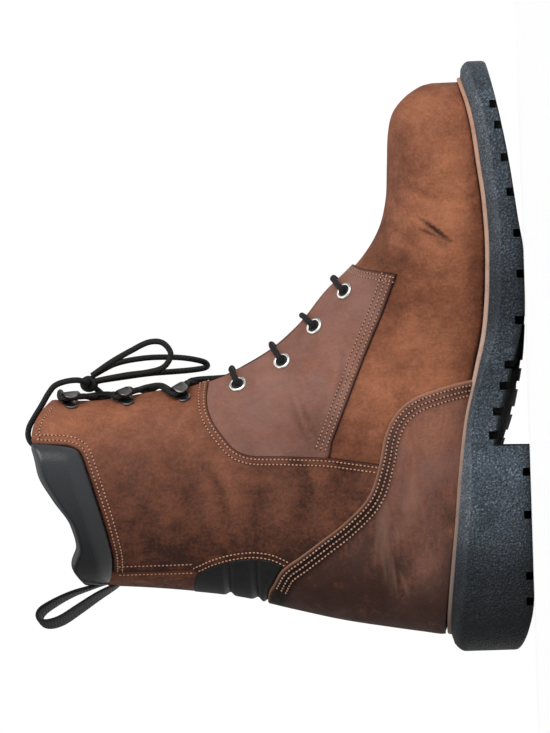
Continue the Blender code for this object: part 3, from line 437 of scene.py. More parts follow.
def splitAt(places, faces, values, level, keepBelow):  # cut triangles along the line where values reach level
    above = values > level
    count = above[faces].sum(1)
    kept = [faces[count == 3]]
    if keepBelow:
        kept.append(faces[count == 0])
    added, cuts, extra = [], {}, []

    def cutPoint(i, j):
        key = (min(i, j), max(i, j))
        if key not in cuts:
            share = (level - values[key[0]]) / (values[key[1]] - values[key[0]])
            cuts[key] = len(places) + len(added)
            added.append(places[key[0]] * (1 - share) + places[key[1]] * share)
        return cuts[key]

    for face in faces[(count == 1) | (count == 2)]:
        flags = above[face]
        odd = int(np.argmax(flags)) if flags.sum() == 1 else int(np.argmin(flags))
        a, b, c = (int(face[(odd + k) % 3]) for k in range(3))
        ab, ac = cutPoint(a, b), cutPoint(a, c)
        tip, rest = [(a, ab, ac)], [(ab, b, c), (ab, c, ac)]
        lone = bool(flags[odd])
        extra += tip if lone or keepBelow else []
        extra += rest if not lone or keepBelow else []
    if extra:
        kept.append(np.array(extra, int))
    places = np.concatenate([places, np.array(added).reshape(-1, 2)])
    return places, np.concatenate(kept)


def joinSides(parts):  # one mesh from parts that each have points, faces and values on the points
    starts = np.cumsum([0] + [len(points) for points, _, _ in parts])
    faces = [part[1] + start for part, start in zip(parts, starts)]
    values = {label: np.concatenate([part[2][label] for part in parts]) for label in parts[0][2]}
    return np.concatenate([part[0] for part in parts]), np.concatenate(faces), values


def seenPlaces(places, side):  # stations of places on the upper's grid, and where they show from the side
    station = shaftStation(places[:, 0], places[:, 1], side)
    return station, lastPoint(station, places[:, 1], side, halfGap(station))[:, [0, 2]]


panelSheet = {"thick": 0.8, "weld": 0.08}


def panel(name, outline, stations, climbs, sides, settings, material, lift=None, band=None):
    parts = []
    for side in sides:
        places = np.stack(sheetGrid(stations, climbs), 1)
        faces = gridFaces(len(stations), len(climbs), side)
        for level in (0.0, *settings["levels"]):
            depth = outlineDistance(seenPlaces(places, side)[1], outline)
            places, faces = splitAt(places, faces, depth, level, keepBelow=level > 0.0)
        used, faces = np.unique(faces, return_inverse=True)
        places, faces = places[used], faces.reshape(-1, 3)
        station, view = seenPlaces(places, side)
        depth = np.maximum(outlineDistance(view, outline), 0.0)
        height = lift(depth, view) if lift else rounded(depth, settings["height"], settings["edge"])
        shade = tone(view) + (band(depth) if band else 0.0)
        values = {"rim": np.exp(-((depth / settings["rim"]) ** 2)), "shade": shade}
        parts.append((onUpper(station, places[:, 1], side, height), faces, values))
    piece = makePiece(name, *joinSides(parts), material)
    mergeClose(piece.data, panelSheet["weld"] * mm)
    return thicken(piece, panelSheet["thick"], even=False)


def rounded(depth, height, radius):  # a rolled edge that climbs to its height over a radius
    return height * np.sqrt(1.0 - (1.0 - np.clip(depth / radius, 0.0, 1.0)) ** 2)


# Materials


def paint(red, green, blue):
    def linear(value):
        value /= 255.0
        return value / 12.92 if value <= 0.04045 else ((value + 0.055) / 1.055) ** 2.4

    return (linear(red), linear(green), linear(blue), 1.0)


def addNode(tree, kind, inputs=None, **settings):
    made = tree.nodes.new(kind)
    for key, value in settings.items():
        setattr(made, key, value)
    for key, value in (inputs or {}).items():
        if isinstance(value, bpy.types.NodeSocket):
            tree.links.new(value, made.inputs[key])
        else:
            made.inputs[key].default_value = value
    return made


def newMaterial(name, **sockets):
    material = bpy.data.materials.new(name)
    material.use_nodes = True
    tree = material.node_tree
    shader = tree.nodes["Principled BSDF"]
    for key, value in sockets.items():
        shader.inputs[key.replace("_", " ")].default_value = value
    place = addNode(tree, "ShaderNodeTexCoord").outputs["Object"]
    return material, tree, shader, place


def math2(tree, operation, first, second, clamp=False):
    inputs = {0: first, 1: second}
    return addNode(tree, "ShaderNodeMath", inputs, operation=operation, use_clamp=clamp).outputs[0]


def times(tree, first, second, clamp=False):
    return math2(tree, "MULTIPLY", first, second, clamp)


def plus(tree, total, *others):
    for other in others:
        total = math2(tree, "ADD", total, other)
    return total


def centred(tree, value, share):  # a noise as more or less than its middle
    return times(tree, math2(tree, "SUBTRACT", value, 0.5), share)


def spread(tree, value, low, high, toLow=0.0, toHigh=1.0):  # one range of values stretched to another
    inputs = {"Value": value, "From Min": low, "From Max": high, "To Min": toLow, "To Max": toHigh}
    return addNode(tree, "ShaderNodeMapRange", inputs).outputs[0]


def noise(tree, place, scale, detail=4.0, roughness=0.55, distortion=0.0):
    inputs = {"Vector": place, "Scale": scale, "Detail": detail, "Roughness": roughness}
    inputs["Distortion"] = distortion
    return addNode(tree, "ShaderNodeTexNoise", inputs).outputs["Fac"]


def pores(tree, place, scale):
    return addNode(tree, "ShaderNodeTexVoronoi", {"Vector": place, "Scale": scale}).outputs["Distance"]


def ramp(tree, factor, stops):
    made = addNode(tree, "ShaderNodeValToRGB", {"Fac": factor})
    line = made.color_ramp
    line.elements[0].position, line.elements[0].color = stops[0]
    line.elements[1].position, line.elements[1].color = stops[-1]
    for position, color in stops[1:-1]:
        line.elements.new(position).color = color
    return made.outputs["Color"]


def mixColor(tree, factor, first, second, blend="MIX"):
    inputs = {0: factor, 6: first, 7: second}
    return addNode(tree, "ShaderNodeMix", inputs, data_type="RGBA", blend_type=blend).outputs[2]


def feed(tree, shader, **sockets):
    for key, value in sockets.items():
        tree.links.new(value, shader.inputs[key.replace("_", " ")])


def bump(tree, shader, height, strength, distance):
    made = addNode(tree, "ShaderNodeBump", {"Height": height, "Strength": strength, "Distance": distance})
    feed(tree, shader, Normal=made.outputs["Normal"])


leather = {
    "stops": [
        (0.04, paint(20, 9, 5)), (0.32, paint(44, 21, 12)), (0.6, paint(112, 65, 43)),
        (0.88, paint(160, 101, 71)),
    ],
    "contrast": 0.7,
    "level": 0.25,
    "bloom": paint(132, 100, 92),
    "broad": (22.0, 4.0, 0.6, 0.8),  # noises: scale, detail, roughness, distortion
    "cloud": (110.0, 6.0, 0.7, 0.3),
    "nap": (620.0, 4.0, 0.7),
    "fibre": (1.0, 4.0, 0.65, 1.2),
    "haze": (40.0, 5.0, 0.65, 0.5),
    "pores": 700.0,
    "fibreLean": (0.0, 0.5, 0.0),
    "shares": (0.55, 0.5, 0.5, 0.6),  # of broad, cloud, nap and the piece's own shade in the colour
    "bloomFrom": -0.8,  # the shade where the bloom begins
    "roughness": (0.7, 0.46),
    "depths": (0.35, 0.9, 0.9),  # of pores, nap and fibre in the bump
    "bump": (0.5, 0.0009),
    "markReach": 30.0,  # how deep a mark goes, across the boot
    "markRagged": 0.9,
}
# Edge colour: edge ink and painted shadow along the overlapping edges of the shaft and backstay
scratchInk, scuffChalk, edgeInkAndShadow = paint(34, 17, 12), paint(160, 124, 106), paint(36, 17, 11)


def leatherMark(tree, place, ragged, spot, half, lean):  # a long soft blot on the boot, by its middle
    inputs = {
        "Vector": place,
        "Location": metres(spot).tolist(),
        "Rotation": (0.0, math.radians(-lean), 0.0),
        "Scale": (half[0] * mm, leather["markReach"] * mm, half[1] * mm),
    }
    inside = addNode(tree, "ShaderNodeMapping", inputs, vector_type="TEXTURE").outputs["Vector"]
    away = addNode(tree, "ShaderNodeVectorMath", {0: inside}, operation="LENGTH").outputs["Value"]
    return spread(tree, plus(tree, away, centred(tree, ragged, leather["markRagged"])), 1.0, 0.3)


def leatherMaterial(
    name, tint, bloomShare, rimColor, rimShare, marks=(), fibreScale=(210.0, 110.0, 70.0), fibreShare=0.28
):
    material, tree, shader, place = newMaterial(name, Specular_IOR_Level=0.12)
    given = [addNode(tree, "ShaderNodeAttribute", attribute_name=label) for label in ("shade", "rim")]
    shade, rim = (node.outputs["Fac"] for node in given)
    broad, cloud, nap, haze = (noise(tree, place, *leather[key]) for key in ("broad", "cloud", "nap", "haze"))
    inputs = {"Vector": place, "Scale": fibreScale, "Rotation": leather["fibreLean"]}
    streak = addNode(tree, "ShaderNodeMapping", inputs).outputs["Vector"]
    fibre = noise(tree, streak, *leather["fibre"])
    broadShare, cloudShare, napShare, shadeShare = leather["shares"]
    level = plus(
        tree, centred(tree, broad, broadShare), centred(tree, cloud, cloudShare),
        centred(tree, fibre, fibreShare), centred(tree, nap, napShare), times(tree, shade, shadeShare),
        0.5 + tint,
    )
    level = math2(tree, "ADD", times(tree, level, leather["contrast"]), leather["level"], clamp=True)
    color = ramp(tree, level, leather["stops"])
    misty = times(tree, haze, 2.0 * bloomShare, clamp=True)
    bloom = times(tree, misty, spread(tree, shade, leather["bloomFrom"], 0.0))
    color = mixColor(tree, bloom, color, leather["bloom"])
    for spot, half, lean, ink, strength in marks:
        blot = times(tree, leatherMark(tree, place, nap, spot, half, lean), strength)
        color = mixColor(tree, blot, color, ink)
    # The rim colour: painted shadow with edge ink along the overlapping edges of the eyestays, shaft and
    # backstay, and the counter's pale raw edge
    color = mixColor(tree, times(tree, rim, rimShare), color, rimColor)
    feed(tree, shader, Base_Color=color, Roughness=spread(tree, cloud, 0.3, 0.7, *leather["roughness"]))
    poreDepth, napDepth, fibreDepth = leather["depths"]
    pitted = times(tree, pores(tree, place, leather["pores"]), poreDepth)
    height = plus(tree, pitted, times(tree, nap, napDepth), times(tree, fibre, fibreDepth))
    bump(tree, shader, height, *leather["bump"])
    return material


# Marks on the leather: middle, half sizes, lean in degrees, ink and strength
vampLeather = leatherMaterial(
    "vampLeather", 0.06, 0.06, edgeInkAndShadow, 0.0,
    [
        ((220.7, -45.0, 44.8), (13.0, 1.8), 51.3, scratchInk, 0.9),
        ((219.4, -45.0, 48.6), (8.0, 1.2), 64.0, scratchInk, 0.6),
        ((213.5, -45.0, 42.0), (6.0, 2.6), 40.0, scratchInk, 0.25),
    ],
)
# The eyestays' dark rim is painted shadow along their edges
eyestayLeather = leatherMaterial("eyestayLeather", -0.03, 0.55, paint(34, 15, 10), 0.9)
shaftLeather = leatherMaterial("shaftLeather", -0.05, 0.12, edgeInkAndShadow, 0.9)
counterLeather = leatherMaterial(
    "counterLeather", -0.10, 0.36, paint(158, 116, 94), 0.75,
    [
        ((43.0, -34.0, 73.6), (13.0, 3.4), 5.3, scuffChalk, 0.1),
        ((47.0, -34.0, 77.0), (11.0, 1.4), 4.0, scuffChalk, 0.12),
        ((44.0, -34.0, 72.0), (14.0, 1.2), 6.0, scuffChalk, 0.12),
        ((53.0, -34.0, 74.4), (9.0, 1.5), 3.0, scuffChalk, 0.1),
        ((60.0, -35.0, 69.6), (12.0, 1.3), 0.0, scuffChalk, 0.1),
        ((57.0, -35.0, 81.0), (13.0, 1.5), -3.0, scuffChalk, 0.1),
        ((38.5, -34.0, 66.8), (9.5, 1.5), 16.8, scuffChalk, 0.15),
        ((40.0, -34.0, 70.2), (7.5, 1.0), 10.0, scratchInk, 0.22),
        ((66.0, -36.0, 77.0), (20.0, 4.6), -2.0, scuffChalk, 0.2),
        ((84.0, -36.0, 62.0), (16.0, 5.0), -4.0, scuffChalk, 0.14),
    ],
    fibreScale=(50.0, 110.0, 210.0), fibreShare=0.55,
)
strapLeather = leatherMaterial("strapLeather", 0.12, 0.0, edgeInkAndShadow, 0.9)


def plainGrain(name, dark, light, scale, roughness, bumpScale, strength, distance, paintedLight=None, **sockets):
    material, tree, shader, place = newMaterial(name, **sockets)
    mottle = noise(tree, place, scale, 5.0, 0.6)
    color = ramp(tree, mottle, [(0.3, dark), (0.7, light)])
    if paintedLight:  # painted light: paler towards the toe, where the lamp falls on it
        along = addNode(tree, "ShaderNodeSeparateXYZ", {"Vector": place}).outputs["X"]
        color = mixColor(tree, spread(tree, along, paintedLight[0], paintedLight[1]), color, paintedLight[2])
    feed(tree, shader, Base_Color=color, Roughness=spread(tree, mottle, 0.0, 1.0, *roughness))
    bump(tree, shader, pores(tree, place, bumpScale), strength, distance)
    return material


# The pad is painted lighter towards its front: painted light where the lamp falls
collarLeather = plainGrain(
    "collarLeather", paint(6, 6, 6), paint(11, 11, 12), 60.0, (0.24, 0.3), 1100.0, 0.12, 0.0003,
    paintedLight=(-0.01, 0.062, paint(44, 46, 50)), Specular_IOR_Level=0.36,
)


# Brightness of the rubber along the sole: painted shade behind the heel and painted light over the heel's
# front, with the greying of wear where the foot rolls
soleLightAndWear = [
    (2.0, 0.1), (40.0, 0.3), (64.0, 1.0), (98.0, 1.9), (135.0, 1.3), (185.0, 0.6), (240.0, 1.3), (308.0, 1.4)
]
rubber = {
    "grit": (1.3, 3.0, 0.6),  # scale for each of the pebbles', detail, roughness
    "dust": (60.0, 4.0, 0.6),
    "dustShare": 0.35,
    "stops": (0.34, 0.56, 0.74),
    "paintedFootShade": (0.0, 0.008, 0.5, 1.0),  # painted shade towards the foot of the wall: from one height to another, and the brightness at each
    "roughness": (0.4, 0.6),
}


def soleMaterial(name, dark, middle, paintedGlint, pebble, strength, distance):  # rubber, darkened with painted shade towards its foot, with painted light and shade along the sole
    material, tree, shader, place = newMaterial(name, Specular_IOR_Level=0.18)
    finer, detail, roughness = rubber["grit"]
    grit = noise(tree, place, pebble * finer, detail, roughness)
    dust = noise(tree, place, *rubber["dust"])
    level = plus(tree, grit, centred(tree, dust, rubber["dustShare"]))
    # The lightest stop paints glints on the pebbles: painted highlights
    color = ramp(tree, level, list(zip(rubber["stops"], (dark, middle, paintedGlint))))
    spot = addNode(tree, "ShaderNodeSeparateXYZ", {"Vector": place}).outputs
    # Painted light and shade along the sole, with some wear, and painted shade towards the foot of the wall
    first, final, most = soleLightAndWear[0][0], soleLightAndWear[-1][0], max(gain for _, gain in soleLightAndWear)
    start, stop = ((x - last["heelCentre"]) * mm for x in (first, final))
    stops = [((x - first) / (final - first), (*[gain / most] * 3, 1.0)) for x, gain in soleLightAndWear]
    gains = times(tree, ramp(tree, spread(tree, spot["X"], start, stop), stops), most)
    wearAndPaintedLight = times(tree, spread(tree, spot["Z"], *rubber["paintedFootShade"]), gains)
    color = mixColor(tree, 1.0, color, wearAndPaintedLight, "MULTIPLY")
    feed(tree, shader, Base_Color=color, Roughness=spread(tree, dust, 0.0, 1.0, *rubber["roughness"]))
    bump(tree, shader, plus(tree, pores(tree, place, pebble), grit), strength, distance)
    return material


solePebble = soleMaterial(
    "solePebble", paint(29, 34, 39), paint(55, 63, 71), paint(98, 109, 118), 760.0, 0.9, 0.0010
)
# Smoother rubber for the band that faces up, painted lighter than the wall: painted light
soleBandPaintedLight = soleMaterial(
    "soleBandPaintedLight", paint(40, 45, 50), paint(66, 72, 78), paint(104, 112, 119), 900.0, 0.6, 0.0007
)
# Near black: painted shade on the tread underneath and in the grooves and notches
paintedTreadShade = plainGrain(
    "paintedTreadShade", paint(9, 10, 11), paint(19, 20, 22), 300.0, (0.7, 0.85), 900.0, 0.4, 0.0004
)


def weltMaterial():  # pale at the arch and the toe, darker and greyer at the back
    material, tree, shader, place = newMaterial("weltStock", Roughness=0.68, Specular_IOR_Level=0.35)
    along = addNode(tree, "ShaderNodeSeparateXYZ", {"Vector": place}).outputs["X"]
    stops = [(0.0, paint(96, 82, 75)), (0.3, paint(134, 112, 100))]
    stops += [(0.5, paint(186, 156, 140)), (1.0, paint(168, 126, 104))]
    color = ramp(tree, spread(tree, along, -0.05, 0.25), stops)
    grime = noise(tree, place, 190.0, 5.0, 0.7)
    feed(tree, shader, Base_Color=mixColor(tree, centred(tree, grime, 1.4), color, paint(92, 62, 48)))
    bump(tree, shader, grime, 0.4, 0.0004)
    return material


weltStock = weltMaterial()
liningCloth = plainGrain(
    "liningCloth", paint(44, 40, 38), paint(66, 60, 56), 500.0, (0.85, 0.95), 1600.0, 0.6, 0.0004,
    Sheen_Weight=0.2,
)
insoleCloth = plainGrain(
    "insoleCloth", paint(58, 52, 46), paint(84, 76, 68), 300.0, (0.85, 0.95), 1300.0, 0.6, 0.0004
)
flexCloth = plainGrain(
    "flexCloth", paint(11, 11, 11), paint(22, 22, 22), 400.0, (0.45, 0.6), 1400.0, 0.5, 0.0003,
    Specular_IOR_Level=0.2,
)
nickel = plainGrain(
    "nickel", paint(196, 194, 188), paint(226, 225, 220), 300.0, (0.18, 0.32), 2600.0, 0.08, 0.0001,
    Metallic=1.0,
)
darkNickel = plainGrain(
    "darkNickel", paint(96, 94, 90), paint(132, 130, 126), 260.0, (0.26, 0.42), 2600.0, 0.1, 0.0001,
    Metallic=1.0,
)
# Near black: painted shade in the eyelets' holes and the stitches' needle holes
paintedHoleShade = plainGrain(
    "paintedHoleShade", paint(8, 8, 8), paint(14, 13, 13), 300.0, (0.8, 0.9), 900.0, 0.2, 0.0002
)
twine = (420.0, (0.6, 0.75), 3000.0, 0.3, 0.0002)
lightThread = plainGrain("lightThread", paint(164, 118, 92), paint(196, 150, 122), *twine)
brownThread = plainGrain("brownThread", paint(150, 106, 84), paint(188, 142, 116), *twine)


def wovenMaterial(name, dark, light, turns, pitch, flat):  # braid or weave along the piece's own UV map
    material, tree, shader, _ = newMaterial(name, Specular_IOR_Level=0.22, Roughness=0.6)
    strip = addNode(tree, "ShaderNodeSeparateXYZ", {"Vector": addNode(tree, "ShaderNodeUVMap").outputs["UV"]})
    waves = [times(tree, strip.outputs["X"], 2 * math.pi / pitch)]
    waves.append(times(tree, strip.outputs["Y"], 2 * math.pi * turns))
    if not flat:  # the yarns of a braid cross on the slant
        waves = [math2(tree, sign, *waves) for sign in ("ADD", "SUBTRACT")]
    yarns = [math2(tree, "SINE", wave, 0.0) for wave in waves]
    height = math2(tree, "MULTIPLY" if flat else "MAXIMUM", *yarns)
    level = plus(tree, times(tree, height, 0.5), 0.5)
    feed(tree, shader, Base_Color=ramp(tree, level, [(0.2, dark), (0.8, light)]))
    bump(tree, shader, level, 0.7, 0.0004)
    return material


laceBraid = wovenMaterial("laceBraid", paint(6, 6, 6), paint(27, 26, 25), 6, 0.0022, False)
loopWebbing = wovenMaterial("loopWebbing", paint(3, 3, 3), paint(16, 16, 15), 9, 0.0016, True)
print("materials ready")


# Upper: one hollow shell of leather with its lining, and the panels sewn on it
upperShell = {"stationStep": 0.1, "toeRows": 16, "climbs": 72, "paintedWeltShade": 0.9, "seamWidth": 0.03}
panelGrid = {"stationStep": 0.065, "climbs": 120}


def stationsFrom(low, high, step):
    return np.linspace(low, high, max(int(round((high - low) / step)), 2) + 1)


def buildUpper():
    climbs = np.linspace(0.0, 1.0, upperShell["climbs"] + 1)
    toe = np.linspace(0.0, 1.0, upperShell["toeRows"] + 1)[:-1]
    stations = np.concatenate([toe, stationsFrom(1.0, last["top"], upperShell["stationStep"])])
    station, climb = sheetGrid(stations, climbs)
    seam = upperShell["paintedWeltShade"] * np.exp(-((climb / upperShell["seamWidth"]) ** 2))  # painted shade beside the welt, where the upper meets it
    parts = []
    for side in (inner, outer):
        point = onUpper(shaftStation(station, climb, side), climb, side, 0.0)
        values = {"shade": tone(point[:, [0, 2]]) - seam, "rim": np.zeros(len(point))}
        parts.append((point, gridFaces(len(stations), len(climbs), side), values))
    piece = makePiece("upperShell", *joinSides(parts), vampLeather)
    thicken(piece, last["wall"], liningCloth)
    settle(piece, "upper_leather", "upper")


buildUpper()
print("upper shell ready")

# Edges of the panels, as seen from the side
eyestayFront = smoothLine([(216.0, 102.0), (203.4, 86.5), (200.7, 76.4), (198.6, 65.4)], 6)
eyestayDiagonal = smoothLine(
    [(198.6, 65.4), (178.8, 73.4), (158.5, 82.6), (136.9, 91.7), (117.8, 99.6), (105.4, 104.7)], 6
)
shaftFront = smoothLine(
    [
        (100.6, 76.0), (103.6, 94.0), (105.2, 104.9), (106.4, 124.2), (107.3, 143.0), (110.5, 151.8),
        (116.4, 157.2), (125.8, 163.4), (135.2, 165.8), (147.7, 164.2), (165.0, 162.0),
    ],
    8,
)
shaftOverlap = shaftFront[16:]  # where the shaft's edge lies over the eyestay
counterEdge = smoothLine(
    [
        (143.6, 24.0), (142.3, 33.0), (139.7, 44.3), (134.7, 58.7), (126.8, 68.6), (115.4, 74.6),
        (101.0, 78.0), (84.5, 84.0), (71.6, 96.5), (61.5, 110.5), (54.5, 120.6), (48.6, 129.4),
        (41.0, 134.6), (34.0, 138.0), (10.0, 141.0),
    ],
    8,
)
flexEdge = smoothLine(
    [
        (20.0, 126.0), (44.0, 127.0), (50.4, 133.0), (52.9, 142.0), (52.9, 151.0), (51.2, 161.0),
        (48.0, 170.0), (43.5, 174.6), (20.0, 175.0),
    ],
    8,
)
padEdge = [
    (20.0, 221.0), (41.5, 219.6), (46.0, 218.3), (56.0, 217.2), (64.5, 218.4), (78.0, 221.6), (91.0, 225.4),
    (102.0, 228.7), (110.0, 231.5), (113.0, 234.0), (115.0, 239.0), (115.8, 249.0), (116.6, 262.0),
]
padLine = smoothLine(padEdge, 6)


def outlineOf(*runs):
    return np.concatenate([np.asarray(run, float) for run in runs])


counterOutline = outlineOf(counterEdge, [(0.0, 141.0), (0.0, 20.0)])
eyestay = {
    "height": 1.4, "edge": 0.9, "levels": (0.12, 0.4, 0.9, 1.5), "rim": 1.3, "tuck": 4.0,
    "stations": (6.9, 18.6, 0.045), "climbs": (0.3, 1.0, 112),
}


def buildEyestays():
    tucked = shifted(shaftOverlap, eyestay["tuck"])
    outline = outlineOf(eyestayFront[:-1], eyestayDiagonal[:-4], [(106.0, 103.0)], tucked, [(175.0, 158.0)])
    stations, climbs = stationsFrom(*eyestay["stations"]), np.linspace(*eyestay["climbs"])
    for name, side in (("eyestayInner", inner), ("eyestayOuter", outer)):
        piece = panel(name, outline, stations, climbs, (side,), eyestay, eyestayLeather)
        settle(piece, "overlay_leather", "eyestay_inner" if side == inner else "eyestay_outer")


shaft = {
    "height": 0.9, "overlap": 1.25, "reach": 11.0, "edge": 0.9, "levels": (0.12, 0.4, 0.9, 2.0), "rim": 1.1,
    "foot": 9.5,
}


def buildShaft():
    over = [(170.0, 280.0), (116.6, 280.0)]
    under = [(48.0, 112.0), (62.0, 92.0), (82.0, 74.0), (99.5, 70.0)]
    outline = outlineOf(shaftFront, over, padLine[-2:0:-1], flexEdge[::-1], under)

    def lift(depth, view):
        near = eased(np.clip(1.0 - lineDistance(view, shaftOverlap)[0] / shaft["reach"], 0.0, 1.0))
        return rounded(depth, shaft["height"] + shaft["overlap"] * near, shaft["edge"])

    stations = stationsFrom(shaft["foot"], last["top"], panelGrid["stationStep"])
    climbs = np.linspace(0.0, 1.0, panelGrid["climbs"] + 1)
    for name, side in (("shaftInner", inner), ("shaftOuter", outer)):
        settle(panel(name, outline, stations, climbs, (side,), shaft, shaftLeather, lift), "overlay_leather")


counter = {
    "height": 1.9, "edge": 1.2, "levels": (0.12, 0.4, 0.9, 1.8), "rim": 0.75, "stations": (9.6, 22.4),
    "climbs": (0.0, 0.72, 88), "bandDark": 0.6, "bandAt": 4.9, "bandWidth": 3.4,
}


def buildCounter():
    def band(depth):  # the rows of stitches lie in a darker band
        return -counter["bandDark"] * np.exp(-(((depth - counter["bandAt"]) / counter["bandWidth"]) ** 2))

    stations = stationsFrom(*counter["stations"], panelGrid["stationStep"])
    climbs = np.linspace(*counter["climbs"])
    piece = panel(
        "counterPanel", counterOutline, stations, climbs, (inner, outer), counter, counterLeather, band=band
    )
    settle(piece, "overlay_leather", "counter")


backstay = {
    "height": 1.4, "edge": 0.9, "levels": (0.12, 0.4, 0.9), "rim": 1.2, "front": 50.6, "low": 173.0,
    "high": 221.5, "behind": 10.0, "corner": (1.0, 2.0), "foot": 21.6, "climbs": (0.0, 0.42, 50),
}


def buildBackstay():
    front, low, high, behind = (backstay[key] for key in ("front", "low", "high", "behind"))
    cutX, cutZ = backstay["corner"]
    edge = [(behind, low), (front - cutX, low), (front, low + cutZ), (front, high), (behind, high)]
    outline = np.array(edge)
    stations = stationsFrom(backstay["foot"], last["top"], panelGrid["stationStep"])
    climbs = np.linspace(*backstay["climbs"])
    piece = panel("backstayStrip", outline, stations, climbs, (inner, outer), backstay, strapLeather)
    settle(piece, "overlay_leather", "backstay")


flex = {
    "height": 0.9, "ribs": 1.1, "grooves": (157.6, 143.4), "grooveWidth": 1.7, "grooveShare": 1.6,
    "tuck": 1.6, "clear": 1.5, "sink": 0.3, "edge": 0.8, "levels": (0.4, 0.9), "rim": 0.75,
    "stations": (19.0, 25.0, 0.03), "climbs": (0.0, 0.42, 60),
}


def buildFlex():
    outline = outlineOf(shifted(flexEdge, -flex["tuck"]), [(10.0, 176.0), (10.0, 125.0)])

    def lift(depth, view):
        height = np.full(len(view), flex["height"] + flex["ribs"])
        for middle in flex["grooves"]:
            groove = np.exp(-(((view[:, 1] - middle) / flex["grooveWidth"]) ** 2))
            height -= flex["ribs"] * flex["grooveShare"] * groove
        clear = np.clip(-outlineDistance(view, counterOutline) / flex["clear"], 0.0, 1.0)  # under the counter
        return rounded(depth, 1.0, flex["edge"]) * height * clear - flex["sink"]

    stations, climbs = stationsFrom(*flex["stations"]), np.linspace(*flex["climbs"])
    piece = panel("flexPanel", outline, stations, climbs, (inner, outer), flex, flexCloth, lift)
    settle(piece, "flex_fabric", "flex_panel")


buildEyestays()
buildShaft()
buildCounter()
buildBackstay()
buildFlex()
print("panels ready")

# Padded collar: a stuffed roll over the top edge, from one front tab round the back to the other
pad = {
    "thick": 4.0, "edge": 0.5, "swell": 10.0, "inside": 24.0, "within": 2.6, "crown": 0.8, "leather": 0.4,
    "backShare": 0.1, "backReach": 0.3, "backEase": 0.8, "least": 0.02, "below": 0.3,
    "tabs": (0.3, 0.95, 400),  # climbs among which the front tabs end
    "columns": 70, "rise": 28, "roll": 14, "drop": 10,
}


def padColumn(side, climb):  # up the outside from the pad's lower edge, over the top and down inside
    high = np.interp(climb, climbKnots, collarStations[side])
    low = min(crossingStation(np.array([climb]), side, padEdge)[0], high - pad["least"])
    station = np.linspace(low, high, pad["rise"])
    column = np.full(len(station), climb)
    base = lastPoint(station, column, side, halfGap(station))
    normal = lastNormal(station, column, side, halfGap(station))
    depth, _ = lineDistance(base[:, [0, 2]], padLine)
    full = pad["backShare"] + (1 - pad["backShare"]) * min(climb / pad["backReach"], 1.0) ** pad["backEase"]
    lift = pad["edge"] + rounded(depth, pad["thick"] * full, pad["swell"])
    face = base + normal * lift[:, None]
    below = np.array([high - pad["below"]])
    up = unit(base[-1] - lastPoint(below, column[:1], side, halfGap(below))[0])
    out, top, tall = normal[-1], base[-1], lift[-1]
    innerLift = -(last["wall"] + pad["within"] * min(tall / pad["thick"], 1.0))
    middle, radius = (tall + innerLift) / 2, (tall - innerLift) / 2
    turns = np.linspace(0.0, math.pi, pad["roll"])[1:-1, None]
    roll = top + out * (middle + radius * np.cos(turns)) + up * radius * pad["crown"] * np.sin(turns)
    down = np.linspace(0.0, 1.0, pad["drop"])[:, None]
    drop = top - up * pad["inside"] * down + out * (innerLift + (pad["within"] - pad["leather"]) * down**3)
    return np.concatenate([face, roll, drop])


def buildPad():
    rows = []
    climbs = np.linspace(*pad["tabs"])
    for side in (inner, outer):  # each front tab ends where the pad has no height left
        tall = crossingStation(climbs, side, last["collar"]) - crossingStation(climbs, side, padEdge)
        front = climbs[np.nonzero(tall < pad["least"])[0][0]]
        half = [padColumn(side, climb) for climb in np.linspace(0.0, front, pad["columns"])]
        rows += half[::-1] if side == inner else half[1:]
    rows = np.array(rows)
    faces = gridFaces(len(rows), rows.shape[1], inner)
    piece = makePiece("collarPad", rows.reshape(-1, 3), faces, {}, collarLeather)
    fixNormals(piece)
    thicken(piece, pad["leather"], even=False)
    settle(piece, "collar_leather", "collar_pad")


def fixNormals(piece, openSides=0):  # faces outwards, with openings of up to so many sides closed
    work = bmesh.new()
    work.from_mesh(piece.data)
    if openSides:
        bmesh.ops.holes_fill(work, edges=[e for e in work.edges if e.is_boundary], sides=openSides)
    bmesh.ops.recalc_face_normals(work, faces=work.faces[:])
    work.to_mesh(piece.data)
    work.free()


buildPad()
print("collar ready")

tongue = {
    "drops": [(7.6, 4.1), (9.0, 5.2), (14.0, 5.2), (16.5, 4.1)], "thick": 3.5, "stations": (7.6, 25.5, 0.12),
    "climbs": (0.70, 1.0, 26), "cornerTrim": 0.9, "leanFrom": 232.0, "leanEase": 8.0, "leanBack": 0.5,
    "leanHalfWidth": 32.0, "edgeShare": 0.75, "dark": 0.2, "bevel": 1.2, "bevelAngle": 50.0,
}


def leaned(points):  # the free top of the tongue falls back over the foot
    rise = np.maximum(points[:, 2] - tongue["leanFrom"], 0.0)
    lean = tongue["leanBack"] * rise * rise / (rise + tongue["leanEase"])
    edge = np.minimum((points[:, 1] / tongue["leanHalfWidth"]) ** 2, 1.0)
    return points - np.stack([lean * (1 - tongue["edgeShare"] * edge), 0 * lean, lean * (1 - edge)], 1)


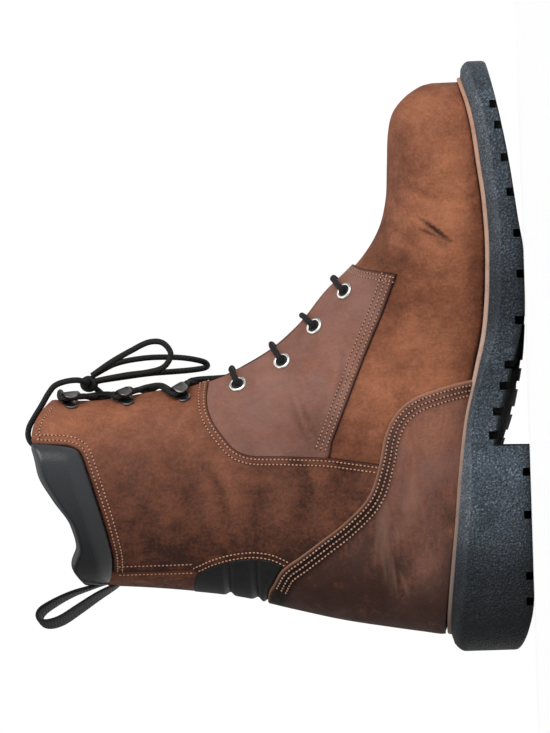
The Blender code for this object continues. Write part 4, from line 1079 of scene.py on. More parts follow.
def buildTongue():
    stations, climbs = stationsFrom(*tongue["stations"]), np.linspace(*tongue["climbs"])
    station, climb = sheetGrid(stations, climbs)
    middle = (climb - climbs[0]) / (climbs[-1] - climbs[0])
    trim = tongue["cornerTrim"] * (1 - middle) ** 2  # the top corners are cut round
    station -= trim * (station - stations[0]) / (stations[-1] - stations[0])
    drop = np.interp(station, *zip(*tongue["drops"]))
    parts = []
    for side in (inner, outer):
        point = leaned(onUpper(station, climb, side, -drop, laced=False))
        values = {"shade": tone(point[:, [0, 2]]) - tongue["dark"], "rim": np.zeros(len(point))}
        parts.append((point, gridFaces(len(stations), len(climbs), side), values))
    piece = makePiece("tongueFlap", *joinSides(parts), vampLeather)
    thicken(piece, tongue["thick"])
    edge = piece.modifiers.new("edge", "BEVEL")
    edge.width, edge.segments = tongue["bevel"] * mm, 3
    edge.limit_method, edge.angle_limit = "ANGLE", math.radians(tongue["bevelAngle"])
    applyModifiers(piece)
    settle(piece, "tongue_leather", "tongue")


buildTongue()
print("tongue ready")

# Sole: outline and underside as in the part's source, with finer edges
sole = {
    "stations": [(0, 1, 16), (1, 5, 36), (5, 11.46, 52), (11.5, 11.56, 6), (11.6, 15, 28), (15, 17, 36)],
    "ledges": [
        (0.0, 10.6), (2.0, 10.0), (4.0, 9.0), (7.0, 8.6), (10.0, 7.4), (12.0, 7.2), (14.0, 8.0), (16.0, 10.2),
        (17.0, 11.3),
    ],
    "heelTread": [(0.0, 12.8), (2.0, 9.4), (7.5, 5.4), (15.0, 2.6), (22.0, 0.9), (30.0, 0.0), (108.4, 0.0)],
    "foreInner": [(108.4, 18.0), (126.0, 14.4), (138.0, 11.0), (150.0, 7.8), (162.0, 4.0), (174.0, 1.4)],
    "foreOuter": [(108.4, 13.8), (126.0, 7.8), (138.0, 5.0), (150.0, 2.6), (162.0, 1.2), (174.0, 0.4)],
    "foreToe": [
        (186.0, 0.0), (208.0, 0.0), (225.0, 2.2), (255.0, 6.0), (280.0, 10.3), (300.0, 14.8), (310.0, 17.6)
    ],
    "breast": 108.4, "top": 1.8, "bevelReach": 2.0, "bevelDrop": 4.4,
    "bevel": [(4.4, 0.36), (2.4, 0.7), (1.3, 0.98), (0.6, 1.22), (0.18, 1.45), (0.0, 1.68)],  # inset and drop
    "waist": (0.75, 10.7, 1.1),  # how much flatter the bevel is under the arch, where, and over how many rows
    "edgeInset": 1.8, "edgeRise": 2.2, "lug": 15.0, "groove": 4.2, "cross": 3.5, "channelDepth": 4.6,
    "notchDepth": 4.0, "notchOut": 6.0, "notchIn": 1.3, "crossDepth": 3.3, "crossIn": 2.6, "crossSlant": 0.17,
    "cutDown": 14.0, "cutFloor": -6.0, "foreChannel": (1.6, 10.4, 26), "heelChannel": (12.1, 16.7, 18),
    "bandFacing": 0.35, "treadFacing": -0.75, "sharp": 38.0,
    "notches": (
        284.8, 273.9, 257.0, 239.0, 217.8, 196.8, 173.0, 150.2, 139.3, 126.1, 114.0, 94.6, 72.4, 40.8, 27.6
    ),
    "crossings": (257.0, 239.0, 217.8, 173.0, 150.2, 72.4, 40.8),
}
feather = [(0.0, 45.6), (17.0, 45.4), (27.0, 44.6), (46.0, 42.6)]
feather += [tuple(row[:2]) for row in lastRows[13:2:-1]]
feather += [(297.6, 31.4), (312.0, 35.7)]


def stationRuns(runs):
    return np.unique(np.concatenate([np.linspace(*run) for run in runs]))


def footOutline(station, side, reach):  # the last's bottom edge moved outwards, as high as the feather line
    station = np.asarray(station, float)
    before, after = np.maximum(station - 0.02, 0.0), np.minimum(station + 0.02, last["heelBack"])

    def bottom(place):
        rows = sectionAt(place)
        return np.stack([rows[0], rows[5] if side == outer else -rows[4]], 1)

    spot, run = bottom(station), bottom(after) - bottom(before)
    out = unit(np.stack([run[:, 1], -run[:, 0]], 1) * side)
    out[station < 0.02] = (1.0, 0.0)
    out[station > last["heelBack"] - 0.02] = (-1.0, 0.0)
    flat = spot + out * np.broadcast_to(reach, station.shape)[:, None]
    return np.concatenate([flat, smoothTable(feather, flat[:, 0])[:, None]], 1)


def ledge(station):
    return smoothTable(sole["ledges"], station)


def tread(x, side):
    fore = smoothTable(sole["foreOuter" if side == outer else "foreInner"] + sole["foreToe"], x)
    return np.where(np.asarray(x) <= sole["breast"], smoothTable(sole["heelTread"], x), fore)


def ringFaces(rows, corners, closed):  # quads round and along a row of rings
    faces = []
    for i in range(rows if closed else rows - 1):
        here, follow = i * corners, (i + 1) % rows * corners
        for j in range(corners):
            beside = (j + 1) % corners
            faces.append((here + j, follow + j, follow + beside, here + beside))
    return faces


def ringPiece(name, profiles, material, closed):  # skin through cross sections, closed round or not
    rows, corners = profiles.shape[:2]
    piece = makePiece(name, profiles.reshape(-1, 3), ringFaces(rows, corners, closed), {}, material)
    fixNormals(piece)
    return piece


def soleProfile(stations, side):
    reach = ledge(stations)
    flat, middle, width = sole["waist"]
    fade = 1.0 - flat * np.exp(-(((stations - middle) / width) ** 2))
    rows = []
    steps = [(sole["bevelReach"], 0.0)] + [(reach - inset, drop) for inset, drop in sole["bevel"]]
    for distance, drop in steps:
        spot = footOutline(stations, side, distance)
        spot[:, 2] -= sole["top"] + sole["bevelDrop"] * drop * fade
        rows.append(spot)
    inset, rise = sole["edgeInset"], sole["edgeRise"]
    edge = footOutline(stations, side, reach - inset)
    for turn in np.linspace(0.0, math.pi / 2, 5):
        spot = footOutline(stations, side, reach - inset * (1 - math.cos(turn)))
        spot[:, 2] = tread(spot[:, 0] * 0.5 + edge[:, 0] * 0.5, side) + rise * (1 - math.sin(turn))
        rows.append(spot)
    return np.stack(rows, 1)


def outlineAt(x, side):
    stations = np.linspace(0.0, last["heelBack"], 1500)
    spots = footOutline(stations, side, ledge(stations))
    return float(np.interp(-x, -spots[:, 0], spots[:, 1]))


def boxesPiece(name, boxes, material, slant=0.0):
    work = bmesh.new()
    for low, high in boxes:
        low, high = Vector(metres(low)), Vector(metres(high))
        corners = bmesh.ops.create_cube(work, size=1.0)["verts"]
        bmesh.ops.scale(work, vec=high - low, verts=corners)
        bmesh.ops.translate(work, vec=(low + high) / 2, verts=corners)
        for corner in corners:
            corner.co.x += slant * corner.co.y
    mesh = bpy.data.meshes.new(name)
    work.to_mesh(mesh)
    work.free()
    mesh.materials.append(material)
    return addObject(name, mesh)


def channelPiece(name, stations, towardsToe):  # a cutter along the edge, from side to side
    if towardsToe:
        stations = stations[::-1]
    rows = []
    for station, side in [(s, outer) for s in stations] + [(s, inner) for s in stations[::-1]]:
        corners = []
        for inset in (sole["lug"], sole["lug"] + sole["groove"]):
            x, y, _ = footOutline([station], side, ledge(station) - inset)[0]
            corners.append([(x, y, sole["cutFloor"]), (x, y, float(tread(x, side)) + sole["channelDepth"])])
        rows.append([corners[0][0], corners[0][1], corners[1][1], corners[1][0]])
    piece = ringPiece(name, np.array(rows), paintedTreadShade, closed=False)
    fixNormals(piece, openSides=4)
    return piece


def buildSole():
    stations = stationRuns(sole["stations"])
    profiles = np.concatenate([soleProfile(stations, outer), soleProfile(stations, inner)[:, ::-1]], 1)
    piece = ringPiece("soleUnit", profiles, solePebble, closed=False)
    for material in (soleBandPaintedLight, paintedTreadShade):
        piece.data.materials.append(material)
    for face in piece.data.polygons:  # the sloping band over the wall is smooth and painted lighter, and the tread that faces down is painted dark with shade
        up = face.normal.z
        face.material_index = 1 if up > sole["bandFacing"] else 2 if up < sole["treadFacing"] else 0
    notches, crossings = [], []
    half, slim, lug, tall = sole["groove"] / 2, sole["cross"] / 2, sole["lug"], sole["cutDown"]
    for x in sole["notches"]:
        for side in (inner, outer):
            edge = outlineAt(x, side)
            low, high = sorted((edge + side * sole["notchOut"], edge - side * (lug + sole["notchIn"])))
            top = float(tread(x, side)) + sole["notchDepth"]
            notches.append(((x - half, low, top - tall), (x + half, high, top)))
    for x in sole["crossings"]:
        top = max(float(tread(x, inner)), float(tread(x, outer))) + sole["crossDepth"]
        low = outlineAt(x, inner) + lug + sole["crossIn"]
        high = outlineAt(x, outer) - lug - sole["crossIn"]
        crossings.append(((x - slim, low, top - tall), (x + slim, high, top)))
    cutters = [
        channelPiece("foreChannel", np.linspace(*sole["foreChannel"]), True),
        channelPiece("heelChannel", np.linspace(*sole["heelChannel"]), False),
        boxesPiece("notchBoxes", notches, paintedTreadShade),
        boxesPiece("crossBoxes", crossings, paintedTreadShade, sole["crossSlant"]),
    ]
    for cutter in cutters:
        cut = piece.modifiers.new(cutter.name, "BOOLEAN")
        cut.operation, cut.solver, cut.object, cut.material_mode = "DIFFERENCE", "EXACT", cutter, "TRANSFER"
    applyModifiers(piece)
    for cutter in cutters:
        bpy.data.objects.remove(cutter, do_unlink=True)
    mergeClose(piece.data, 2e-6)
    piece.data.shade_smooth()
    piece.data.set_sharp_from_angle(angle=math.radians(sole["sharp"]))
    settle(piece, "sole_rubber", "outsole")


welt = {
    "gap": -0.2, "thick": 3.6, "reach": 2.3, "within": 7.0, "round": 0.7, "sharp": 50.0,
    "stations": [(0, 5, 60), (5, 14, 60), (14, 17, 40)],
}


def buildWelt():
    half = stationRuns(welt["stations"])
    radius = welt["thick"] / 2
    profiles = []
    for stations, side in ((half, outer), (half[-2:0:-1], inner)):
        rows = []
        for turn in np.linspace(math.pi / 2, -math.pi / 2, 7):
            spot = footOutline(stations, side, welt["reach"] - radius * welt["round"] * (1 - math.cos(turn)))
            spot[:, 2] -= welt["gap"] + radius * (1 - math.sin(turn))
            rows.append(spot)
        for drop in (welt["gap"] + welt["thick"], welt["gap"]):
            spot = footOutline(stations, side, -welt["within"])
            spot[:, 2] -= drop
            rows.append(spot)
        profiles.append(np.stack(rows, 1))
    piece = ringPiece("weltStrip", np.concatenate(profiles), weltStock, closed=True)
    piece.data.set_sharp_from_angle(angle=math.radians(welt["sharp"]))
    settle(piece, "welt_leather", "welt")


insole = {
    "inset": 3.4, "lift": 0.4, "thick": 4.0, "rim": 1.4, "rimShare": 0.3, "dish": [(9.0, 0.5), (18.0, 0.9)],
    "toeFrom": 0.4, "toeRate": 0.5,
    "stations": [(0.5, 5, 40), (5, 14, 50), (14, 16.5, 24)],
}


def buildInsole():
    stations = stationRuns(insole["stations"])
    bottom, top, rim = insole["lift"], insole["lift"] + insole["thick"], insole["rim"]
    soft = rim * insole["rimShare"]
    steps = [(0.0, bottom), (0.0, top - rim), (soft, top - soft), (rim, top)]
    steps += [(inset, top - drop) for inset, drop in insole["dish"]]
    narrow = np.minimum(1.0, (stations - insole["toeFrom"]) * insole["toeRate"])  # together at the toe
    rows = []
    for side, order in ((outer, 1), (inner, -1)):
        half = []
        for inset, height in steps:
            spot = footOutline(stations, side, -insole["inset"] - inset * narrow)
            spot[:, 2] += height
            half.append(spot)
        rows += half[::order]
    piece = ringPiece("insoleBoard", np.stack(rows, 1), insoleCloth, closed=False)
    fixNormals(piece, openSides=40)
    settle(piece, "insole_fabric", "insole")


buildSole()
buildWelt()
buildInsole()
print("sole ready")


strapSection = {"corners": 12, "across": 0.35, "through": 0.7}  # the powers square its round off


def ribbon(centres, sides, outs, halfWidths, thickness, closed):  # points, faces and UVs of a flat strap
    corners = strapSection["corners"]
    turns = (np.arange(corners) + 0.5) / corners * 2 * math.pi
    across = np.sign(np.cos(turns)) * np.abs(np.cos(turns)) ** strapSection["across"]
    height = np.sign(np.sin(turns)) * np.abs(np.sin(turns)) ** strapSection["through"]
    points = (
        centres[:, None, :]
        + sides[:, None, :] * (halfWidths[:, None] * across[None, :])[:, :, None]
        + outs[:, None, :] * (thickness / 2 * height)[None, :, None]
    )
    return points.reshape(-1, 3), *stripFaces(centres, corners, closed)


def stripFaces(centres, corners, closed):  # quads round and along a strip, with UVs in metres and turns
    rows = len(centres)
    marks = lineMarks(np.concatenate([centres, centres[:1]])) * mm
    faces, uvs = ringFaces(rows, corners, closed), []
    for i in range(rows if closed else rows - 1):
        for j in range(corners):
            low, high = j / corners, (j + 1) / corners
            uvs += [(marks[i], low), (marks[i + 1], low), (marks[i + 1], high), (marks[i], high)]
    if not closed:
        for end in (0, rows - 1):
            ring = [end * corners + j for j in range(corners)]
            faces.append(ring[::-1] if end else ring)
            uvs += [(marks[end], j / corners) for j in range(corners)]
    return faces, uvs


def mappedPiece(name, points, faces, uvs, material):
    mesh = bpy.data.meshes.new(name)
    mesh.from_pydata(metres(points).tolist(), [], faces)
    layer = mesh.uv_layers.new(name="length")
    layer.data.foreach_set("uv", np.array(uvs, np.float32).ravel())
    mesh.materials.append(material)
    piece = addObject(name, mesh)
    fixNormals(piece)
    mesh.shade_smooth()
    mesh.set_sharp_from_angle(angle=math.radians(60))
    return piece


pullLoop = {
    "path": [
        (44.6, 211.0), (37.4, 225.0), (30.0, 236.6), (24.4, 245.6), (22.6, 252.8), (24.4, 257.6),
        (29.4, 256.6), (34.2, 249.0), (38.2, 240.0), (40.6, 232.0), (43.2, 222.0),
    ],
    "base": (43.6, 0.0, 216.0), "tip": (23.5, 0.0, 256.0), "twist": (36.0, 8.0), "width": 14.0, "thick": 1.7,
    "spacing": 1.2,
}


def buildPullLoop():
    ring = pullLoop["path"]
    line = evenLine(smoothLine([*ring, ring[0]], 8), pullLoop["spacing"])[:-1]
    run = unit(np.roll(line, -1, 0) - np.roll(line, 1, 0))
    base, axis = Vector(pullLoop["base"]), Vector(pullLoop["tip"]) - Vector(pullLoop["base"])
    centres, sides, outs = [], [], []
    wring = np.interp(np.arange(len(line)), (0, len(line)), pullLoop["twist"])
    for (x, z), (runX, runZ), degrees in zip(line, run, wring):  # the strap turns about the loop's own length
        reach = Vector((x, 0.0, z)) - base
        share = min(max(reach.dot(axis) / axis.length_squared, 0.0), 1.0)
        turn = Matrix.Rotation(math.radians(degrees) * math.sqrt(share), 3, axis.normalized())
        centres.append(base + turn @ reach)
        sides.append(turn @ Vector((0.0, 1.0, 0.0)))
        outs.append(turn @ Vector((-runZ, 0.0, runX)))
    centres, sides, outs = (np.array(rows) for rows in (centres, sides, outs))
    widths = np.full(len(line), pullLoop["width"] / 2)
    data = ribbon(centres, sides, outs, widths, pullLoop["thick"], closed=True)
    settle(mappedPiece("pullLoop", *data, loopWebbing), "webbing", "pull_loop")


buildPullLoop()

# Eyelets and lace hooks up the facings, from the lowest
eyelets = {
    "spots": [(190.3, 92.5), (172.6, 108.8), (155.0, 126.3), (143.6, 149.8)],
    "ring": 3.7, "rim": 1.05, "flat": 0.75, "hole": 3.0, "lift": 1.5,
}
hooks = {
    "spots": [(138.2, 178.9), (136.6, 208.0), (135.4, 237.2)],
    "bends": [
        (-4.2, 0.7), (-0.5, 0.6), (2.6, 0.7), (4.6, 1.7), (5.2, 3.4), (4.2, 5.2), (1.8, 6.0), (-2.8, 5.7)
    ],
    "width": 7.0, "metal": 0.9, "lift": 1.1, "spacing": 0.5,
    "endShare": 0.12, "endLeast": 0.02, "endRound": 0.75,
}


def facingFrame(spot, side, lift):  # a place on a facing, with the ways out, to the throat and up
    station, climb = fromSide(np.array([spot]), side)
    place = onUpper(station, climb, side, lift)[0]
    gap = halfGap(station)
    out = lastNormal(station, climb, side, gap)[0]
    near, far = (lastPoint(station, np.minimum(climb + step, 1.0), side, gap)[0] for step in (0.0, 0.02))
    ahead = far - near
    ahead = unit(ahead - out * (ahead @ out))
    upward = np.cross(out, ahead)
    return place, out, ahead, upward if upward[2] > 0 else -upward


def newTree(name, **sockets):  # a geometry tree with named inputs of each kind
    tree = bpy.data.node_groups.new(name, "GeometryNodeTree")
    tree.interface.new_socket("Geometry", in_out="INPUT", socket_type="NodeSocketGeometry")
    for kind, labels in sockets.items():
        for label in labels:
            tree.interface.new_socket(label, in_out="INPUT", socket_type="NodeSocket" + kind)
    tree.interface.new_socket("Geometry", in_out="OUTPUT", socket_type="NodeSocketGeometry")
    return tree, addNode(tree, "NodeGroupInput").outputs


def reshaped(tree, geometry, **inputs):
    return addNode(tree, "GeometryNodeTransform", {"Geometry": geometry, **inputs}).outputs["Geometry"]


def repeatAt(tree, points, rotation, parts):  # painted parts at every point, made real as the tree's result
    both = addNode(tree, "GeometryNodeJoinGeometry")
    for geometry, material in parts:
        painted = addNode(tree, "GeometryNodeSetMaterial", {"Geometry": geometry, "Material": material})
        tree.links.new(painted.outputs["Geometry"], both.inputs["Geometry"])
    inputs = {"Points": points, "Instance": both.outputs["Geometry"], "Rotation": rotation}
    made = addNode(tree, "GeometryNodeInstanceOnPoints", inputs).outputs["Instances"]
    for kind in ("GeometryNodeRealizeInstances", "GeometryNodeSetShadeSmooth"):
        made = addNode(tree, kind, {"Geometry": made}).outputs["Geometry"]
    addNode(tree, "NodeGroupOutput", {"Geometry": made})


def eyeletTree():
    lengths, paints = ("Ring Radius", "Rim Radius", "Hole Radius"), ("Metal", "Hole")
    tree, given = newTree("eyeletRings", Float=lengths, Material=paints)
    circle, profile = (
        addNode(tree, "GeometryNodeCurvePrimitiveCircle", {"Resolution": count, "Radius": given[label]})
        for label, count in (("Ring Radius", 40), ("Rim Radius", 12))
    )
    inputs = {"Curve": circle.outputs["Curve"], "Profile Curve": profile.outputs["Curve"]}
    ring = addNode(tree, "GeometryNodeCurveToMesh", inputs).outputs["Mesh"]
    ring = reshaped(tree, ring, Scale=(1.0, 1.0, eyelets["flat"]))
    # A dark disc in each ring: painted shade where the hole is
    inputs = {"Vertices": 28, "Radius": given["Hole Radius"]}
    disc = addNode(tree, "GeometryNodeMeshCircle", inputs, fill_type="TRIANGLE_FAN").outputs["Mesh"]
    facing = addNode(tree, "GeometryNodeInputNamedAttribute", {"Name": "facing"}, data_type="FLOAT_VECTOR")
    inputs = {"Vector": facing.outputs["Attribute"]}
    turn = addNode(tree, "FunctionNodeAlignRotationToVector", inputs, axis="Z").outputs["Rotation"]
    repeatAt(tree, given["Geometry"], turn, [(ring, given["Metal"]), (disc, given["Hole"])])
    return tree


def useTree(piece, tree, values):
    modifier = piece.modifiers.new(tree.name, "NODES")
    modifier.node_group = tree
    for item in tree.interface.items_tree:
        if item.in_out == "INPUT" and item.name in values:
            modifier[item.identifier] = values[item.name]
    return applyModifiers(piece)


def pointPiece(name, points, edges):
    mesh = bpy.data.meshes.new(name)
    mesh.from_pydata(metres(points).tolist(), edges, [])
    return addObject(name, mesh)


def buildEyelets():
    spots, facings, nodes = [], [], []
    for side, word in ((inner, "inner"), (outer, "outer")):
        for i, spot in enumerate(eyelets["spots"]):
            place, out, _, _ = facingFrame(spot, side, eyelets["lift"])
            spots.append(place)
            facings.append(out)
            nodes.append(f"eyelet_{word}_{i + 1}")
    piece = pointPiece("eyelets", spots, [])
    facing = piece.data.attributes.new("facing", "FLOAT_VECTOR", "POINT")
    facing.data.foreach_set("vector", np.array(facings, np.float32).ravel())
    sizes = {"Ring Radius": eyelets["ring"] * mm, "Rim Radius": eyelets["rim"] * mm}
    sizes["Hole Radius"] = eyelets["hole"] * mm
    useTree(piece, eyeletTree(), {**sizes, "Metal": nickel, "Hole": paintedHoleShade})
    settle(piece, "eyelet_metal", *nodes)


def joinStrips(strips):
    points, faces, uvs, start = [], [], [], 0
    for somePoints, someFaces, someUvs in strips:
        points.append(somePoints)
        faces += [tuple(corner + start for corner in face) for face in someFaces]
        uvs += someUvs
        start += len(somePoints)
    return np.concatenate(points), faces, uvs


def buildHooks():
    strips, nodes = [], []
    bends = evenLine(smoothLine(hooks["bends"], 8), hooks["spacing"])
    run = unit(np.gradient(bends, axis=0))
    marks = np.linspace(0.0, 1.0, len(bends))
    ends = np.clip(np.minimum(marks, 1.0 - marks) / hooks["endShare"], hooks["endLeast"], 1.0)
    widths = hooks["width"] / 2 * np.sqrt(1.0 - (1.0 - ends) ** 2 * hooks["endRound"])  # round at both ends
    for side, word in ((inner, "inner"), (outer, "outer")):
        for i, spot in enumerate(hooks["spots"]):
            place, out, ahead, upward = facingFrame(spot, side, hooks["lift"])
            centres = place + bends[:, :1] * ahead + bends[:, 1:] * out
            outs = -run[:, 1:] * ahead + run[:, :1] * out
            sides = np.tile(upward, (len(bends), 1))
            strips.append(ribbon(centres, sides, outs, widths, hooks["metal"], closed=False))
            nodes.append(f"hook_{word}_{i + 1}")
    piece = mappedPiece("laceHooks", *joinStrips(strips), darkNickel)
    settle(piece, "hook_metal", *nodes)


buildEyelets()
buildHooks()
print("fittings ready")

# Laces: one round braided cord in lengths, tied in front of the top hooks
lace = {
    "radius": 1.55, "spacing": 0.8, "hangSpacing": 1.0, "edgeFrom": 8.2, "over": 3.2, "lap": 1.3, "lift": 3.3,
    "dip": -1.5, "hang": 4.05, "under": -2.9,
    "rise": [(-0.4, -0.4), (2.0, 0.3), (3.5, 2.4)],  # up out of an eyelet, and towards the throat
    "dive": (0.05, 0.17, -0.6),  # share of the way up to the next spot, share over the throat, and lift
    "meet": (0.72, 0.14, -1.6),
    "tuck": [(0.9, 0.985), (1.0, 0.93)],  # share of the way up, and climb under the facing
    "crossAt": 0.45, "offHook": 0.2, "ontoHook": 0.66, "hookDrop": 0.6,
    "hookAhead": 1.7, "hookOut": 3.3, "hookHalf": 4.4, "tie": (4.6, 2.6), "bar": (3.0, 0.0, 1.0),
}


def tube(points, radius, corners=12):
    run = unit(np.gradient(points, axis=0))
    side = np.cross(run[0], (0.31, 0.52, 0.79))
    sides = []
    for direction in run:  # carried along without twisting
        side = unit(side - direction * (side @ direction))
        sides.append(side)
    sides = np.array(sides)
    turns = (np.arange(corners) / corners * 2 * math.pi)[None, :, None]
    ring = sides[:, None, :] * np.cos(turns) + np.cross(run, sides)[:, None, :] * np.sin(turns)
    return (points[:, None, :] + ring * radius).reshape(-1, 3), *stripFaces(points, corners, False)


def laceTube(route):
    return tube(evenLine(smoothLine(route, 10), lace["spacing"]), lace["radius"])


def facingEdge(station, side, lift, climb=1.0):
    return onUpper(np.array([station]), np.array([climb]), side, lift)[0]


def throatPoint(station, share, lift, side=inner):  # a share of the way over the throat from one side's edge
    return facingEdge(station, side, lift) * (1 - share) + facingEdge(station, -side, lift) * share


def edgeStation(spot, side):  # where the facing's edge lies nearest to a place, seen from the side
    stations = np.linspace(lace["edgeFrom"], last["top"], 600)
    edge = lastPoint(stations, np.ones(len(stations)), side, halfGap(stations))[:, [0, 2]]
    return stations[np.argmin(np.linalg.norm(edge - spot, axis=1))]


def hookPoint(spot, side, up, ahead=lace["hookAhead"]):
    place, out, forward, upward = facingFrame(spot, side, hooks["lift"])
    return place + forward * ahead + out * lace["hookOut"] + upward * up


def laceAway(spot, side, here, span, hooked):  # off a hook, or up out of an eyelet and over the edge
    if hooked:
        off = [hookPoint(spot, side, up) for up in (0.0, lace["hookHalf"])]
        return [*off, facingEdge(here + lace["offHook"] * span, side, lace["lift"])]
    place, out, _, _ = facingFrame(spot, side, 0.0)
    edge = edgeStation(spot, side)
    crest = facingEdge(edge, side, lace["over"])
    ahead = unit(crest - place)
    rise = [place + out * up + ahead * along for up, along in lace["rise"]]
    share, over, lift = lace["dive"]
    return [*rise, crest, throatPoint(edge + share * span, over, lift, side)]


def laceHome(spot, side, here, span, hooked):  # onto the next hook, or under the facing to the next eyelet
    if hooked:
        onto = [hookPoint(spot, side, up) for up in (-lace["hookHalf"], 0.0)]
        return [facingEdge(here + lace["ontoHook"] * span, side, lace["lift"]), *onto]
    tuck = [facingEdge(here + share * span, side, lace["under"], climb) for share, climb in lace["tuck"]]
    share, over, lift = lace["meet"]
    return [throatPoint(here + share * span, over, lift, side), *tuck]


def buildLaceRuns():
    spots = eyelets["spots"] + hooks["spots"]
    stations = fromSide(np.array(spots), inner)[0]
    strips = []
    for i in range(len(spots) - 1):
        here, span = stations[i], stations[i + 1] - stations[i]
        hooked, nextHooked = (k >= len(eyelets["spots"]) for k in (i, i + 1))
        for side in (inner, outer):
            lap = lace["lap"] if side == (inner if i % 2 else outer) else -lace["lap"]
            level = lace["lift"] - lace["hookDrop"] if nextHooked else lace["dip"]
            crossing = throatPoint(here + lace["crossAt"] * span, 0.5, level + lap)
            away = laceAway(spots[i], side, here, span, hooked)
            strips.append(laceTube([*away, crossing, *laceHome(spots[i + 1], -side, here, span, nextHooked)]))
    near, far = (
        [hookPoint(spots[-1], side, 0.0), hookPoint(spots[-1], side, *lace["tie"])] for side in (inner, outer)
    )
    middle = (near[1] + far[1]) / 2 + lace["bar"]
    strips.append(laceTube([*near, middle, *far[::-1]]))
    piece = mappedPiece("laceRuns", *joinStrips(strips), laceBraid)
    settle(piece, "lace_cord", *[f"lace_crossing_{i + 1}" for i in range(len(spots) - 1)], "lace_top_bar")


# The tied cord from the knot: two loops hang in front, two ends down the sides
bow = {
    "knot": (146.95, -1.0, 228.0),
    "wraps": [(-2.7, 1.5, 2.7, 3.1), (1.0, -1.05, 2.8, 3.2)],  # place along the knot, lean, half sizes
    "core": (5.6, 2.1),  # half length, radius
    "coreBend": (0.4, -0.3),  # forwards in a wave, and upwards in a slope
    "front": [
        (151.2, -4.6, 226.1), (157.8, -7.2, 216.0), (163.4, -8.4, 205.5), (167.6, -9.0, 196.0),
        (167.0, -9.6, 188.6), (161.0, -10.2, 184.6), (154.6, -10.4, 188.4), (152.2, -10.0, 196.4),
        (151.0, -8.6, 208.0), (148.9, -5.6, 221.5), (147.8, -3.4, 225.8),
    ],
    "far": [
        (151.2, 2.4, 225.9), (157.0, 4.4, 214.0), (159.4, 4.8, 200.0), (159.6, 5.0, 187.0),
        (158.6, 6.0, 176.4), (156.4, 10.2, 168.0), (153.8, 16.2, 167.2), (152.6, 20.4, 174.2),
        (152.0, 20.8, 184.5), (151.4, 17.2, 197.0), (150.0, 10.8, 210.0), (148.6, 3.8, 221.5),
        (147.6, 1.4, 225.6),
    ],
    "inner": [  # over the top bar and the tongue, then down inside the collar
        (147.4, -7.4, 228.4), (147.9, -10.8, 229.4), (149.1, -13.0, 233.4), (148.6, -13.4, 239.6),
        (146.6, -13.4, 245.2), (142.4, -13.4, 248.8), (136.5, -13.4, 252.4), (130.4, -13.4, 256.4),
        (125.4, -13.4, 259.2), (120.6, -13.4, 259.8), (116.5, -13.4, 257.6), (114.3, -13.4, 253.0),
        (113.6, -13.4, 246.5), (113.3, -13.5, 238.0), (113.1, -13.6, 229.0), (113.0, -13.7, 221.0),
    ],
    "outer": [(147.6, 5.3, 228.6), (147.9, 12.5, 228.6), (144.0, 21.5, 225.0)],
    "outerHang": [
        (132.0, 214.0), (129.5, 200.0), (128.5, 184.0), (128.0, 168.0), (127.5, 152.0), (127.0, 138.0)
    ],
}


def cordPiece(name, route, node):
    line = evenLine(smoothLine(route, 10), lace["hangSpacing"])
    piece = mappedPiece(name, *tube(line, lace["radius"]), laceBraid)
    settle(piece, "lace_cord", node)


def buildBow():
    centre = np.array(bow["knot"])
    turns = np.linspace(0.0, 2 * math.pi, 30)
    strips = []
    for along, lean, wide, tall in bow["wraps"]:
        ring = np.stack([wide * np.cos(turns), along + lean * np.sin(turns), tall * np.sin(turns)], 1)
        strips.append(tube(centre + ring, lace["radius"]))
    half, thick = bow["core"]
    wave, slope = bow["coreBend"]
    core = np.linspace(-half, half, 14)
    strips.append(tube(centre + np.stack([wave * np.sin(core), core, slope * core], 1), thick))
    knot = mappedPiece("laceKnot", *joinStrips(strips), laceBraid)
    settle(knot, "lace_cord", "lace_knot")
    cordPiece("laceLoopFront", bow["front"], "lace_loop_front")
    cordPiece("laceLoopFar", bow["far"], "lace_loop_far")
    cordPiece("laceEndInner", bow["inner"], "lace_end_inner")
    station, climb = fromSide(np.array(bow["outerHang"]), outer)
    hang = onUpper(station, climb, outer, lace["hang"])
    cordPiece("laceEndOuter", [*bow["outer"], *hang], "lace_end_outer")


buildLaceRuns()
buildBow()
print("laces ready")

# Rows of stitches: an edge seen from the side, distances in from it, the height of the leather, what hides it
stitches = {
    "spacing": 2.0, "length": 1.4, "thread": 0.36, "hole": 0.34, "seed": 7, "lean": (0.05, 0.05, 0.14),
    "clear": 1.2, "below": 2.0, "beside": 0.8, "step": 0.8, "seam": (177.0, 214.0, 24),
    "tab": [(118.5, 262.0), (119.0, 253.6), (124.0, 253.0), (130.0, 250.2), (134.6, 246.0)],
}


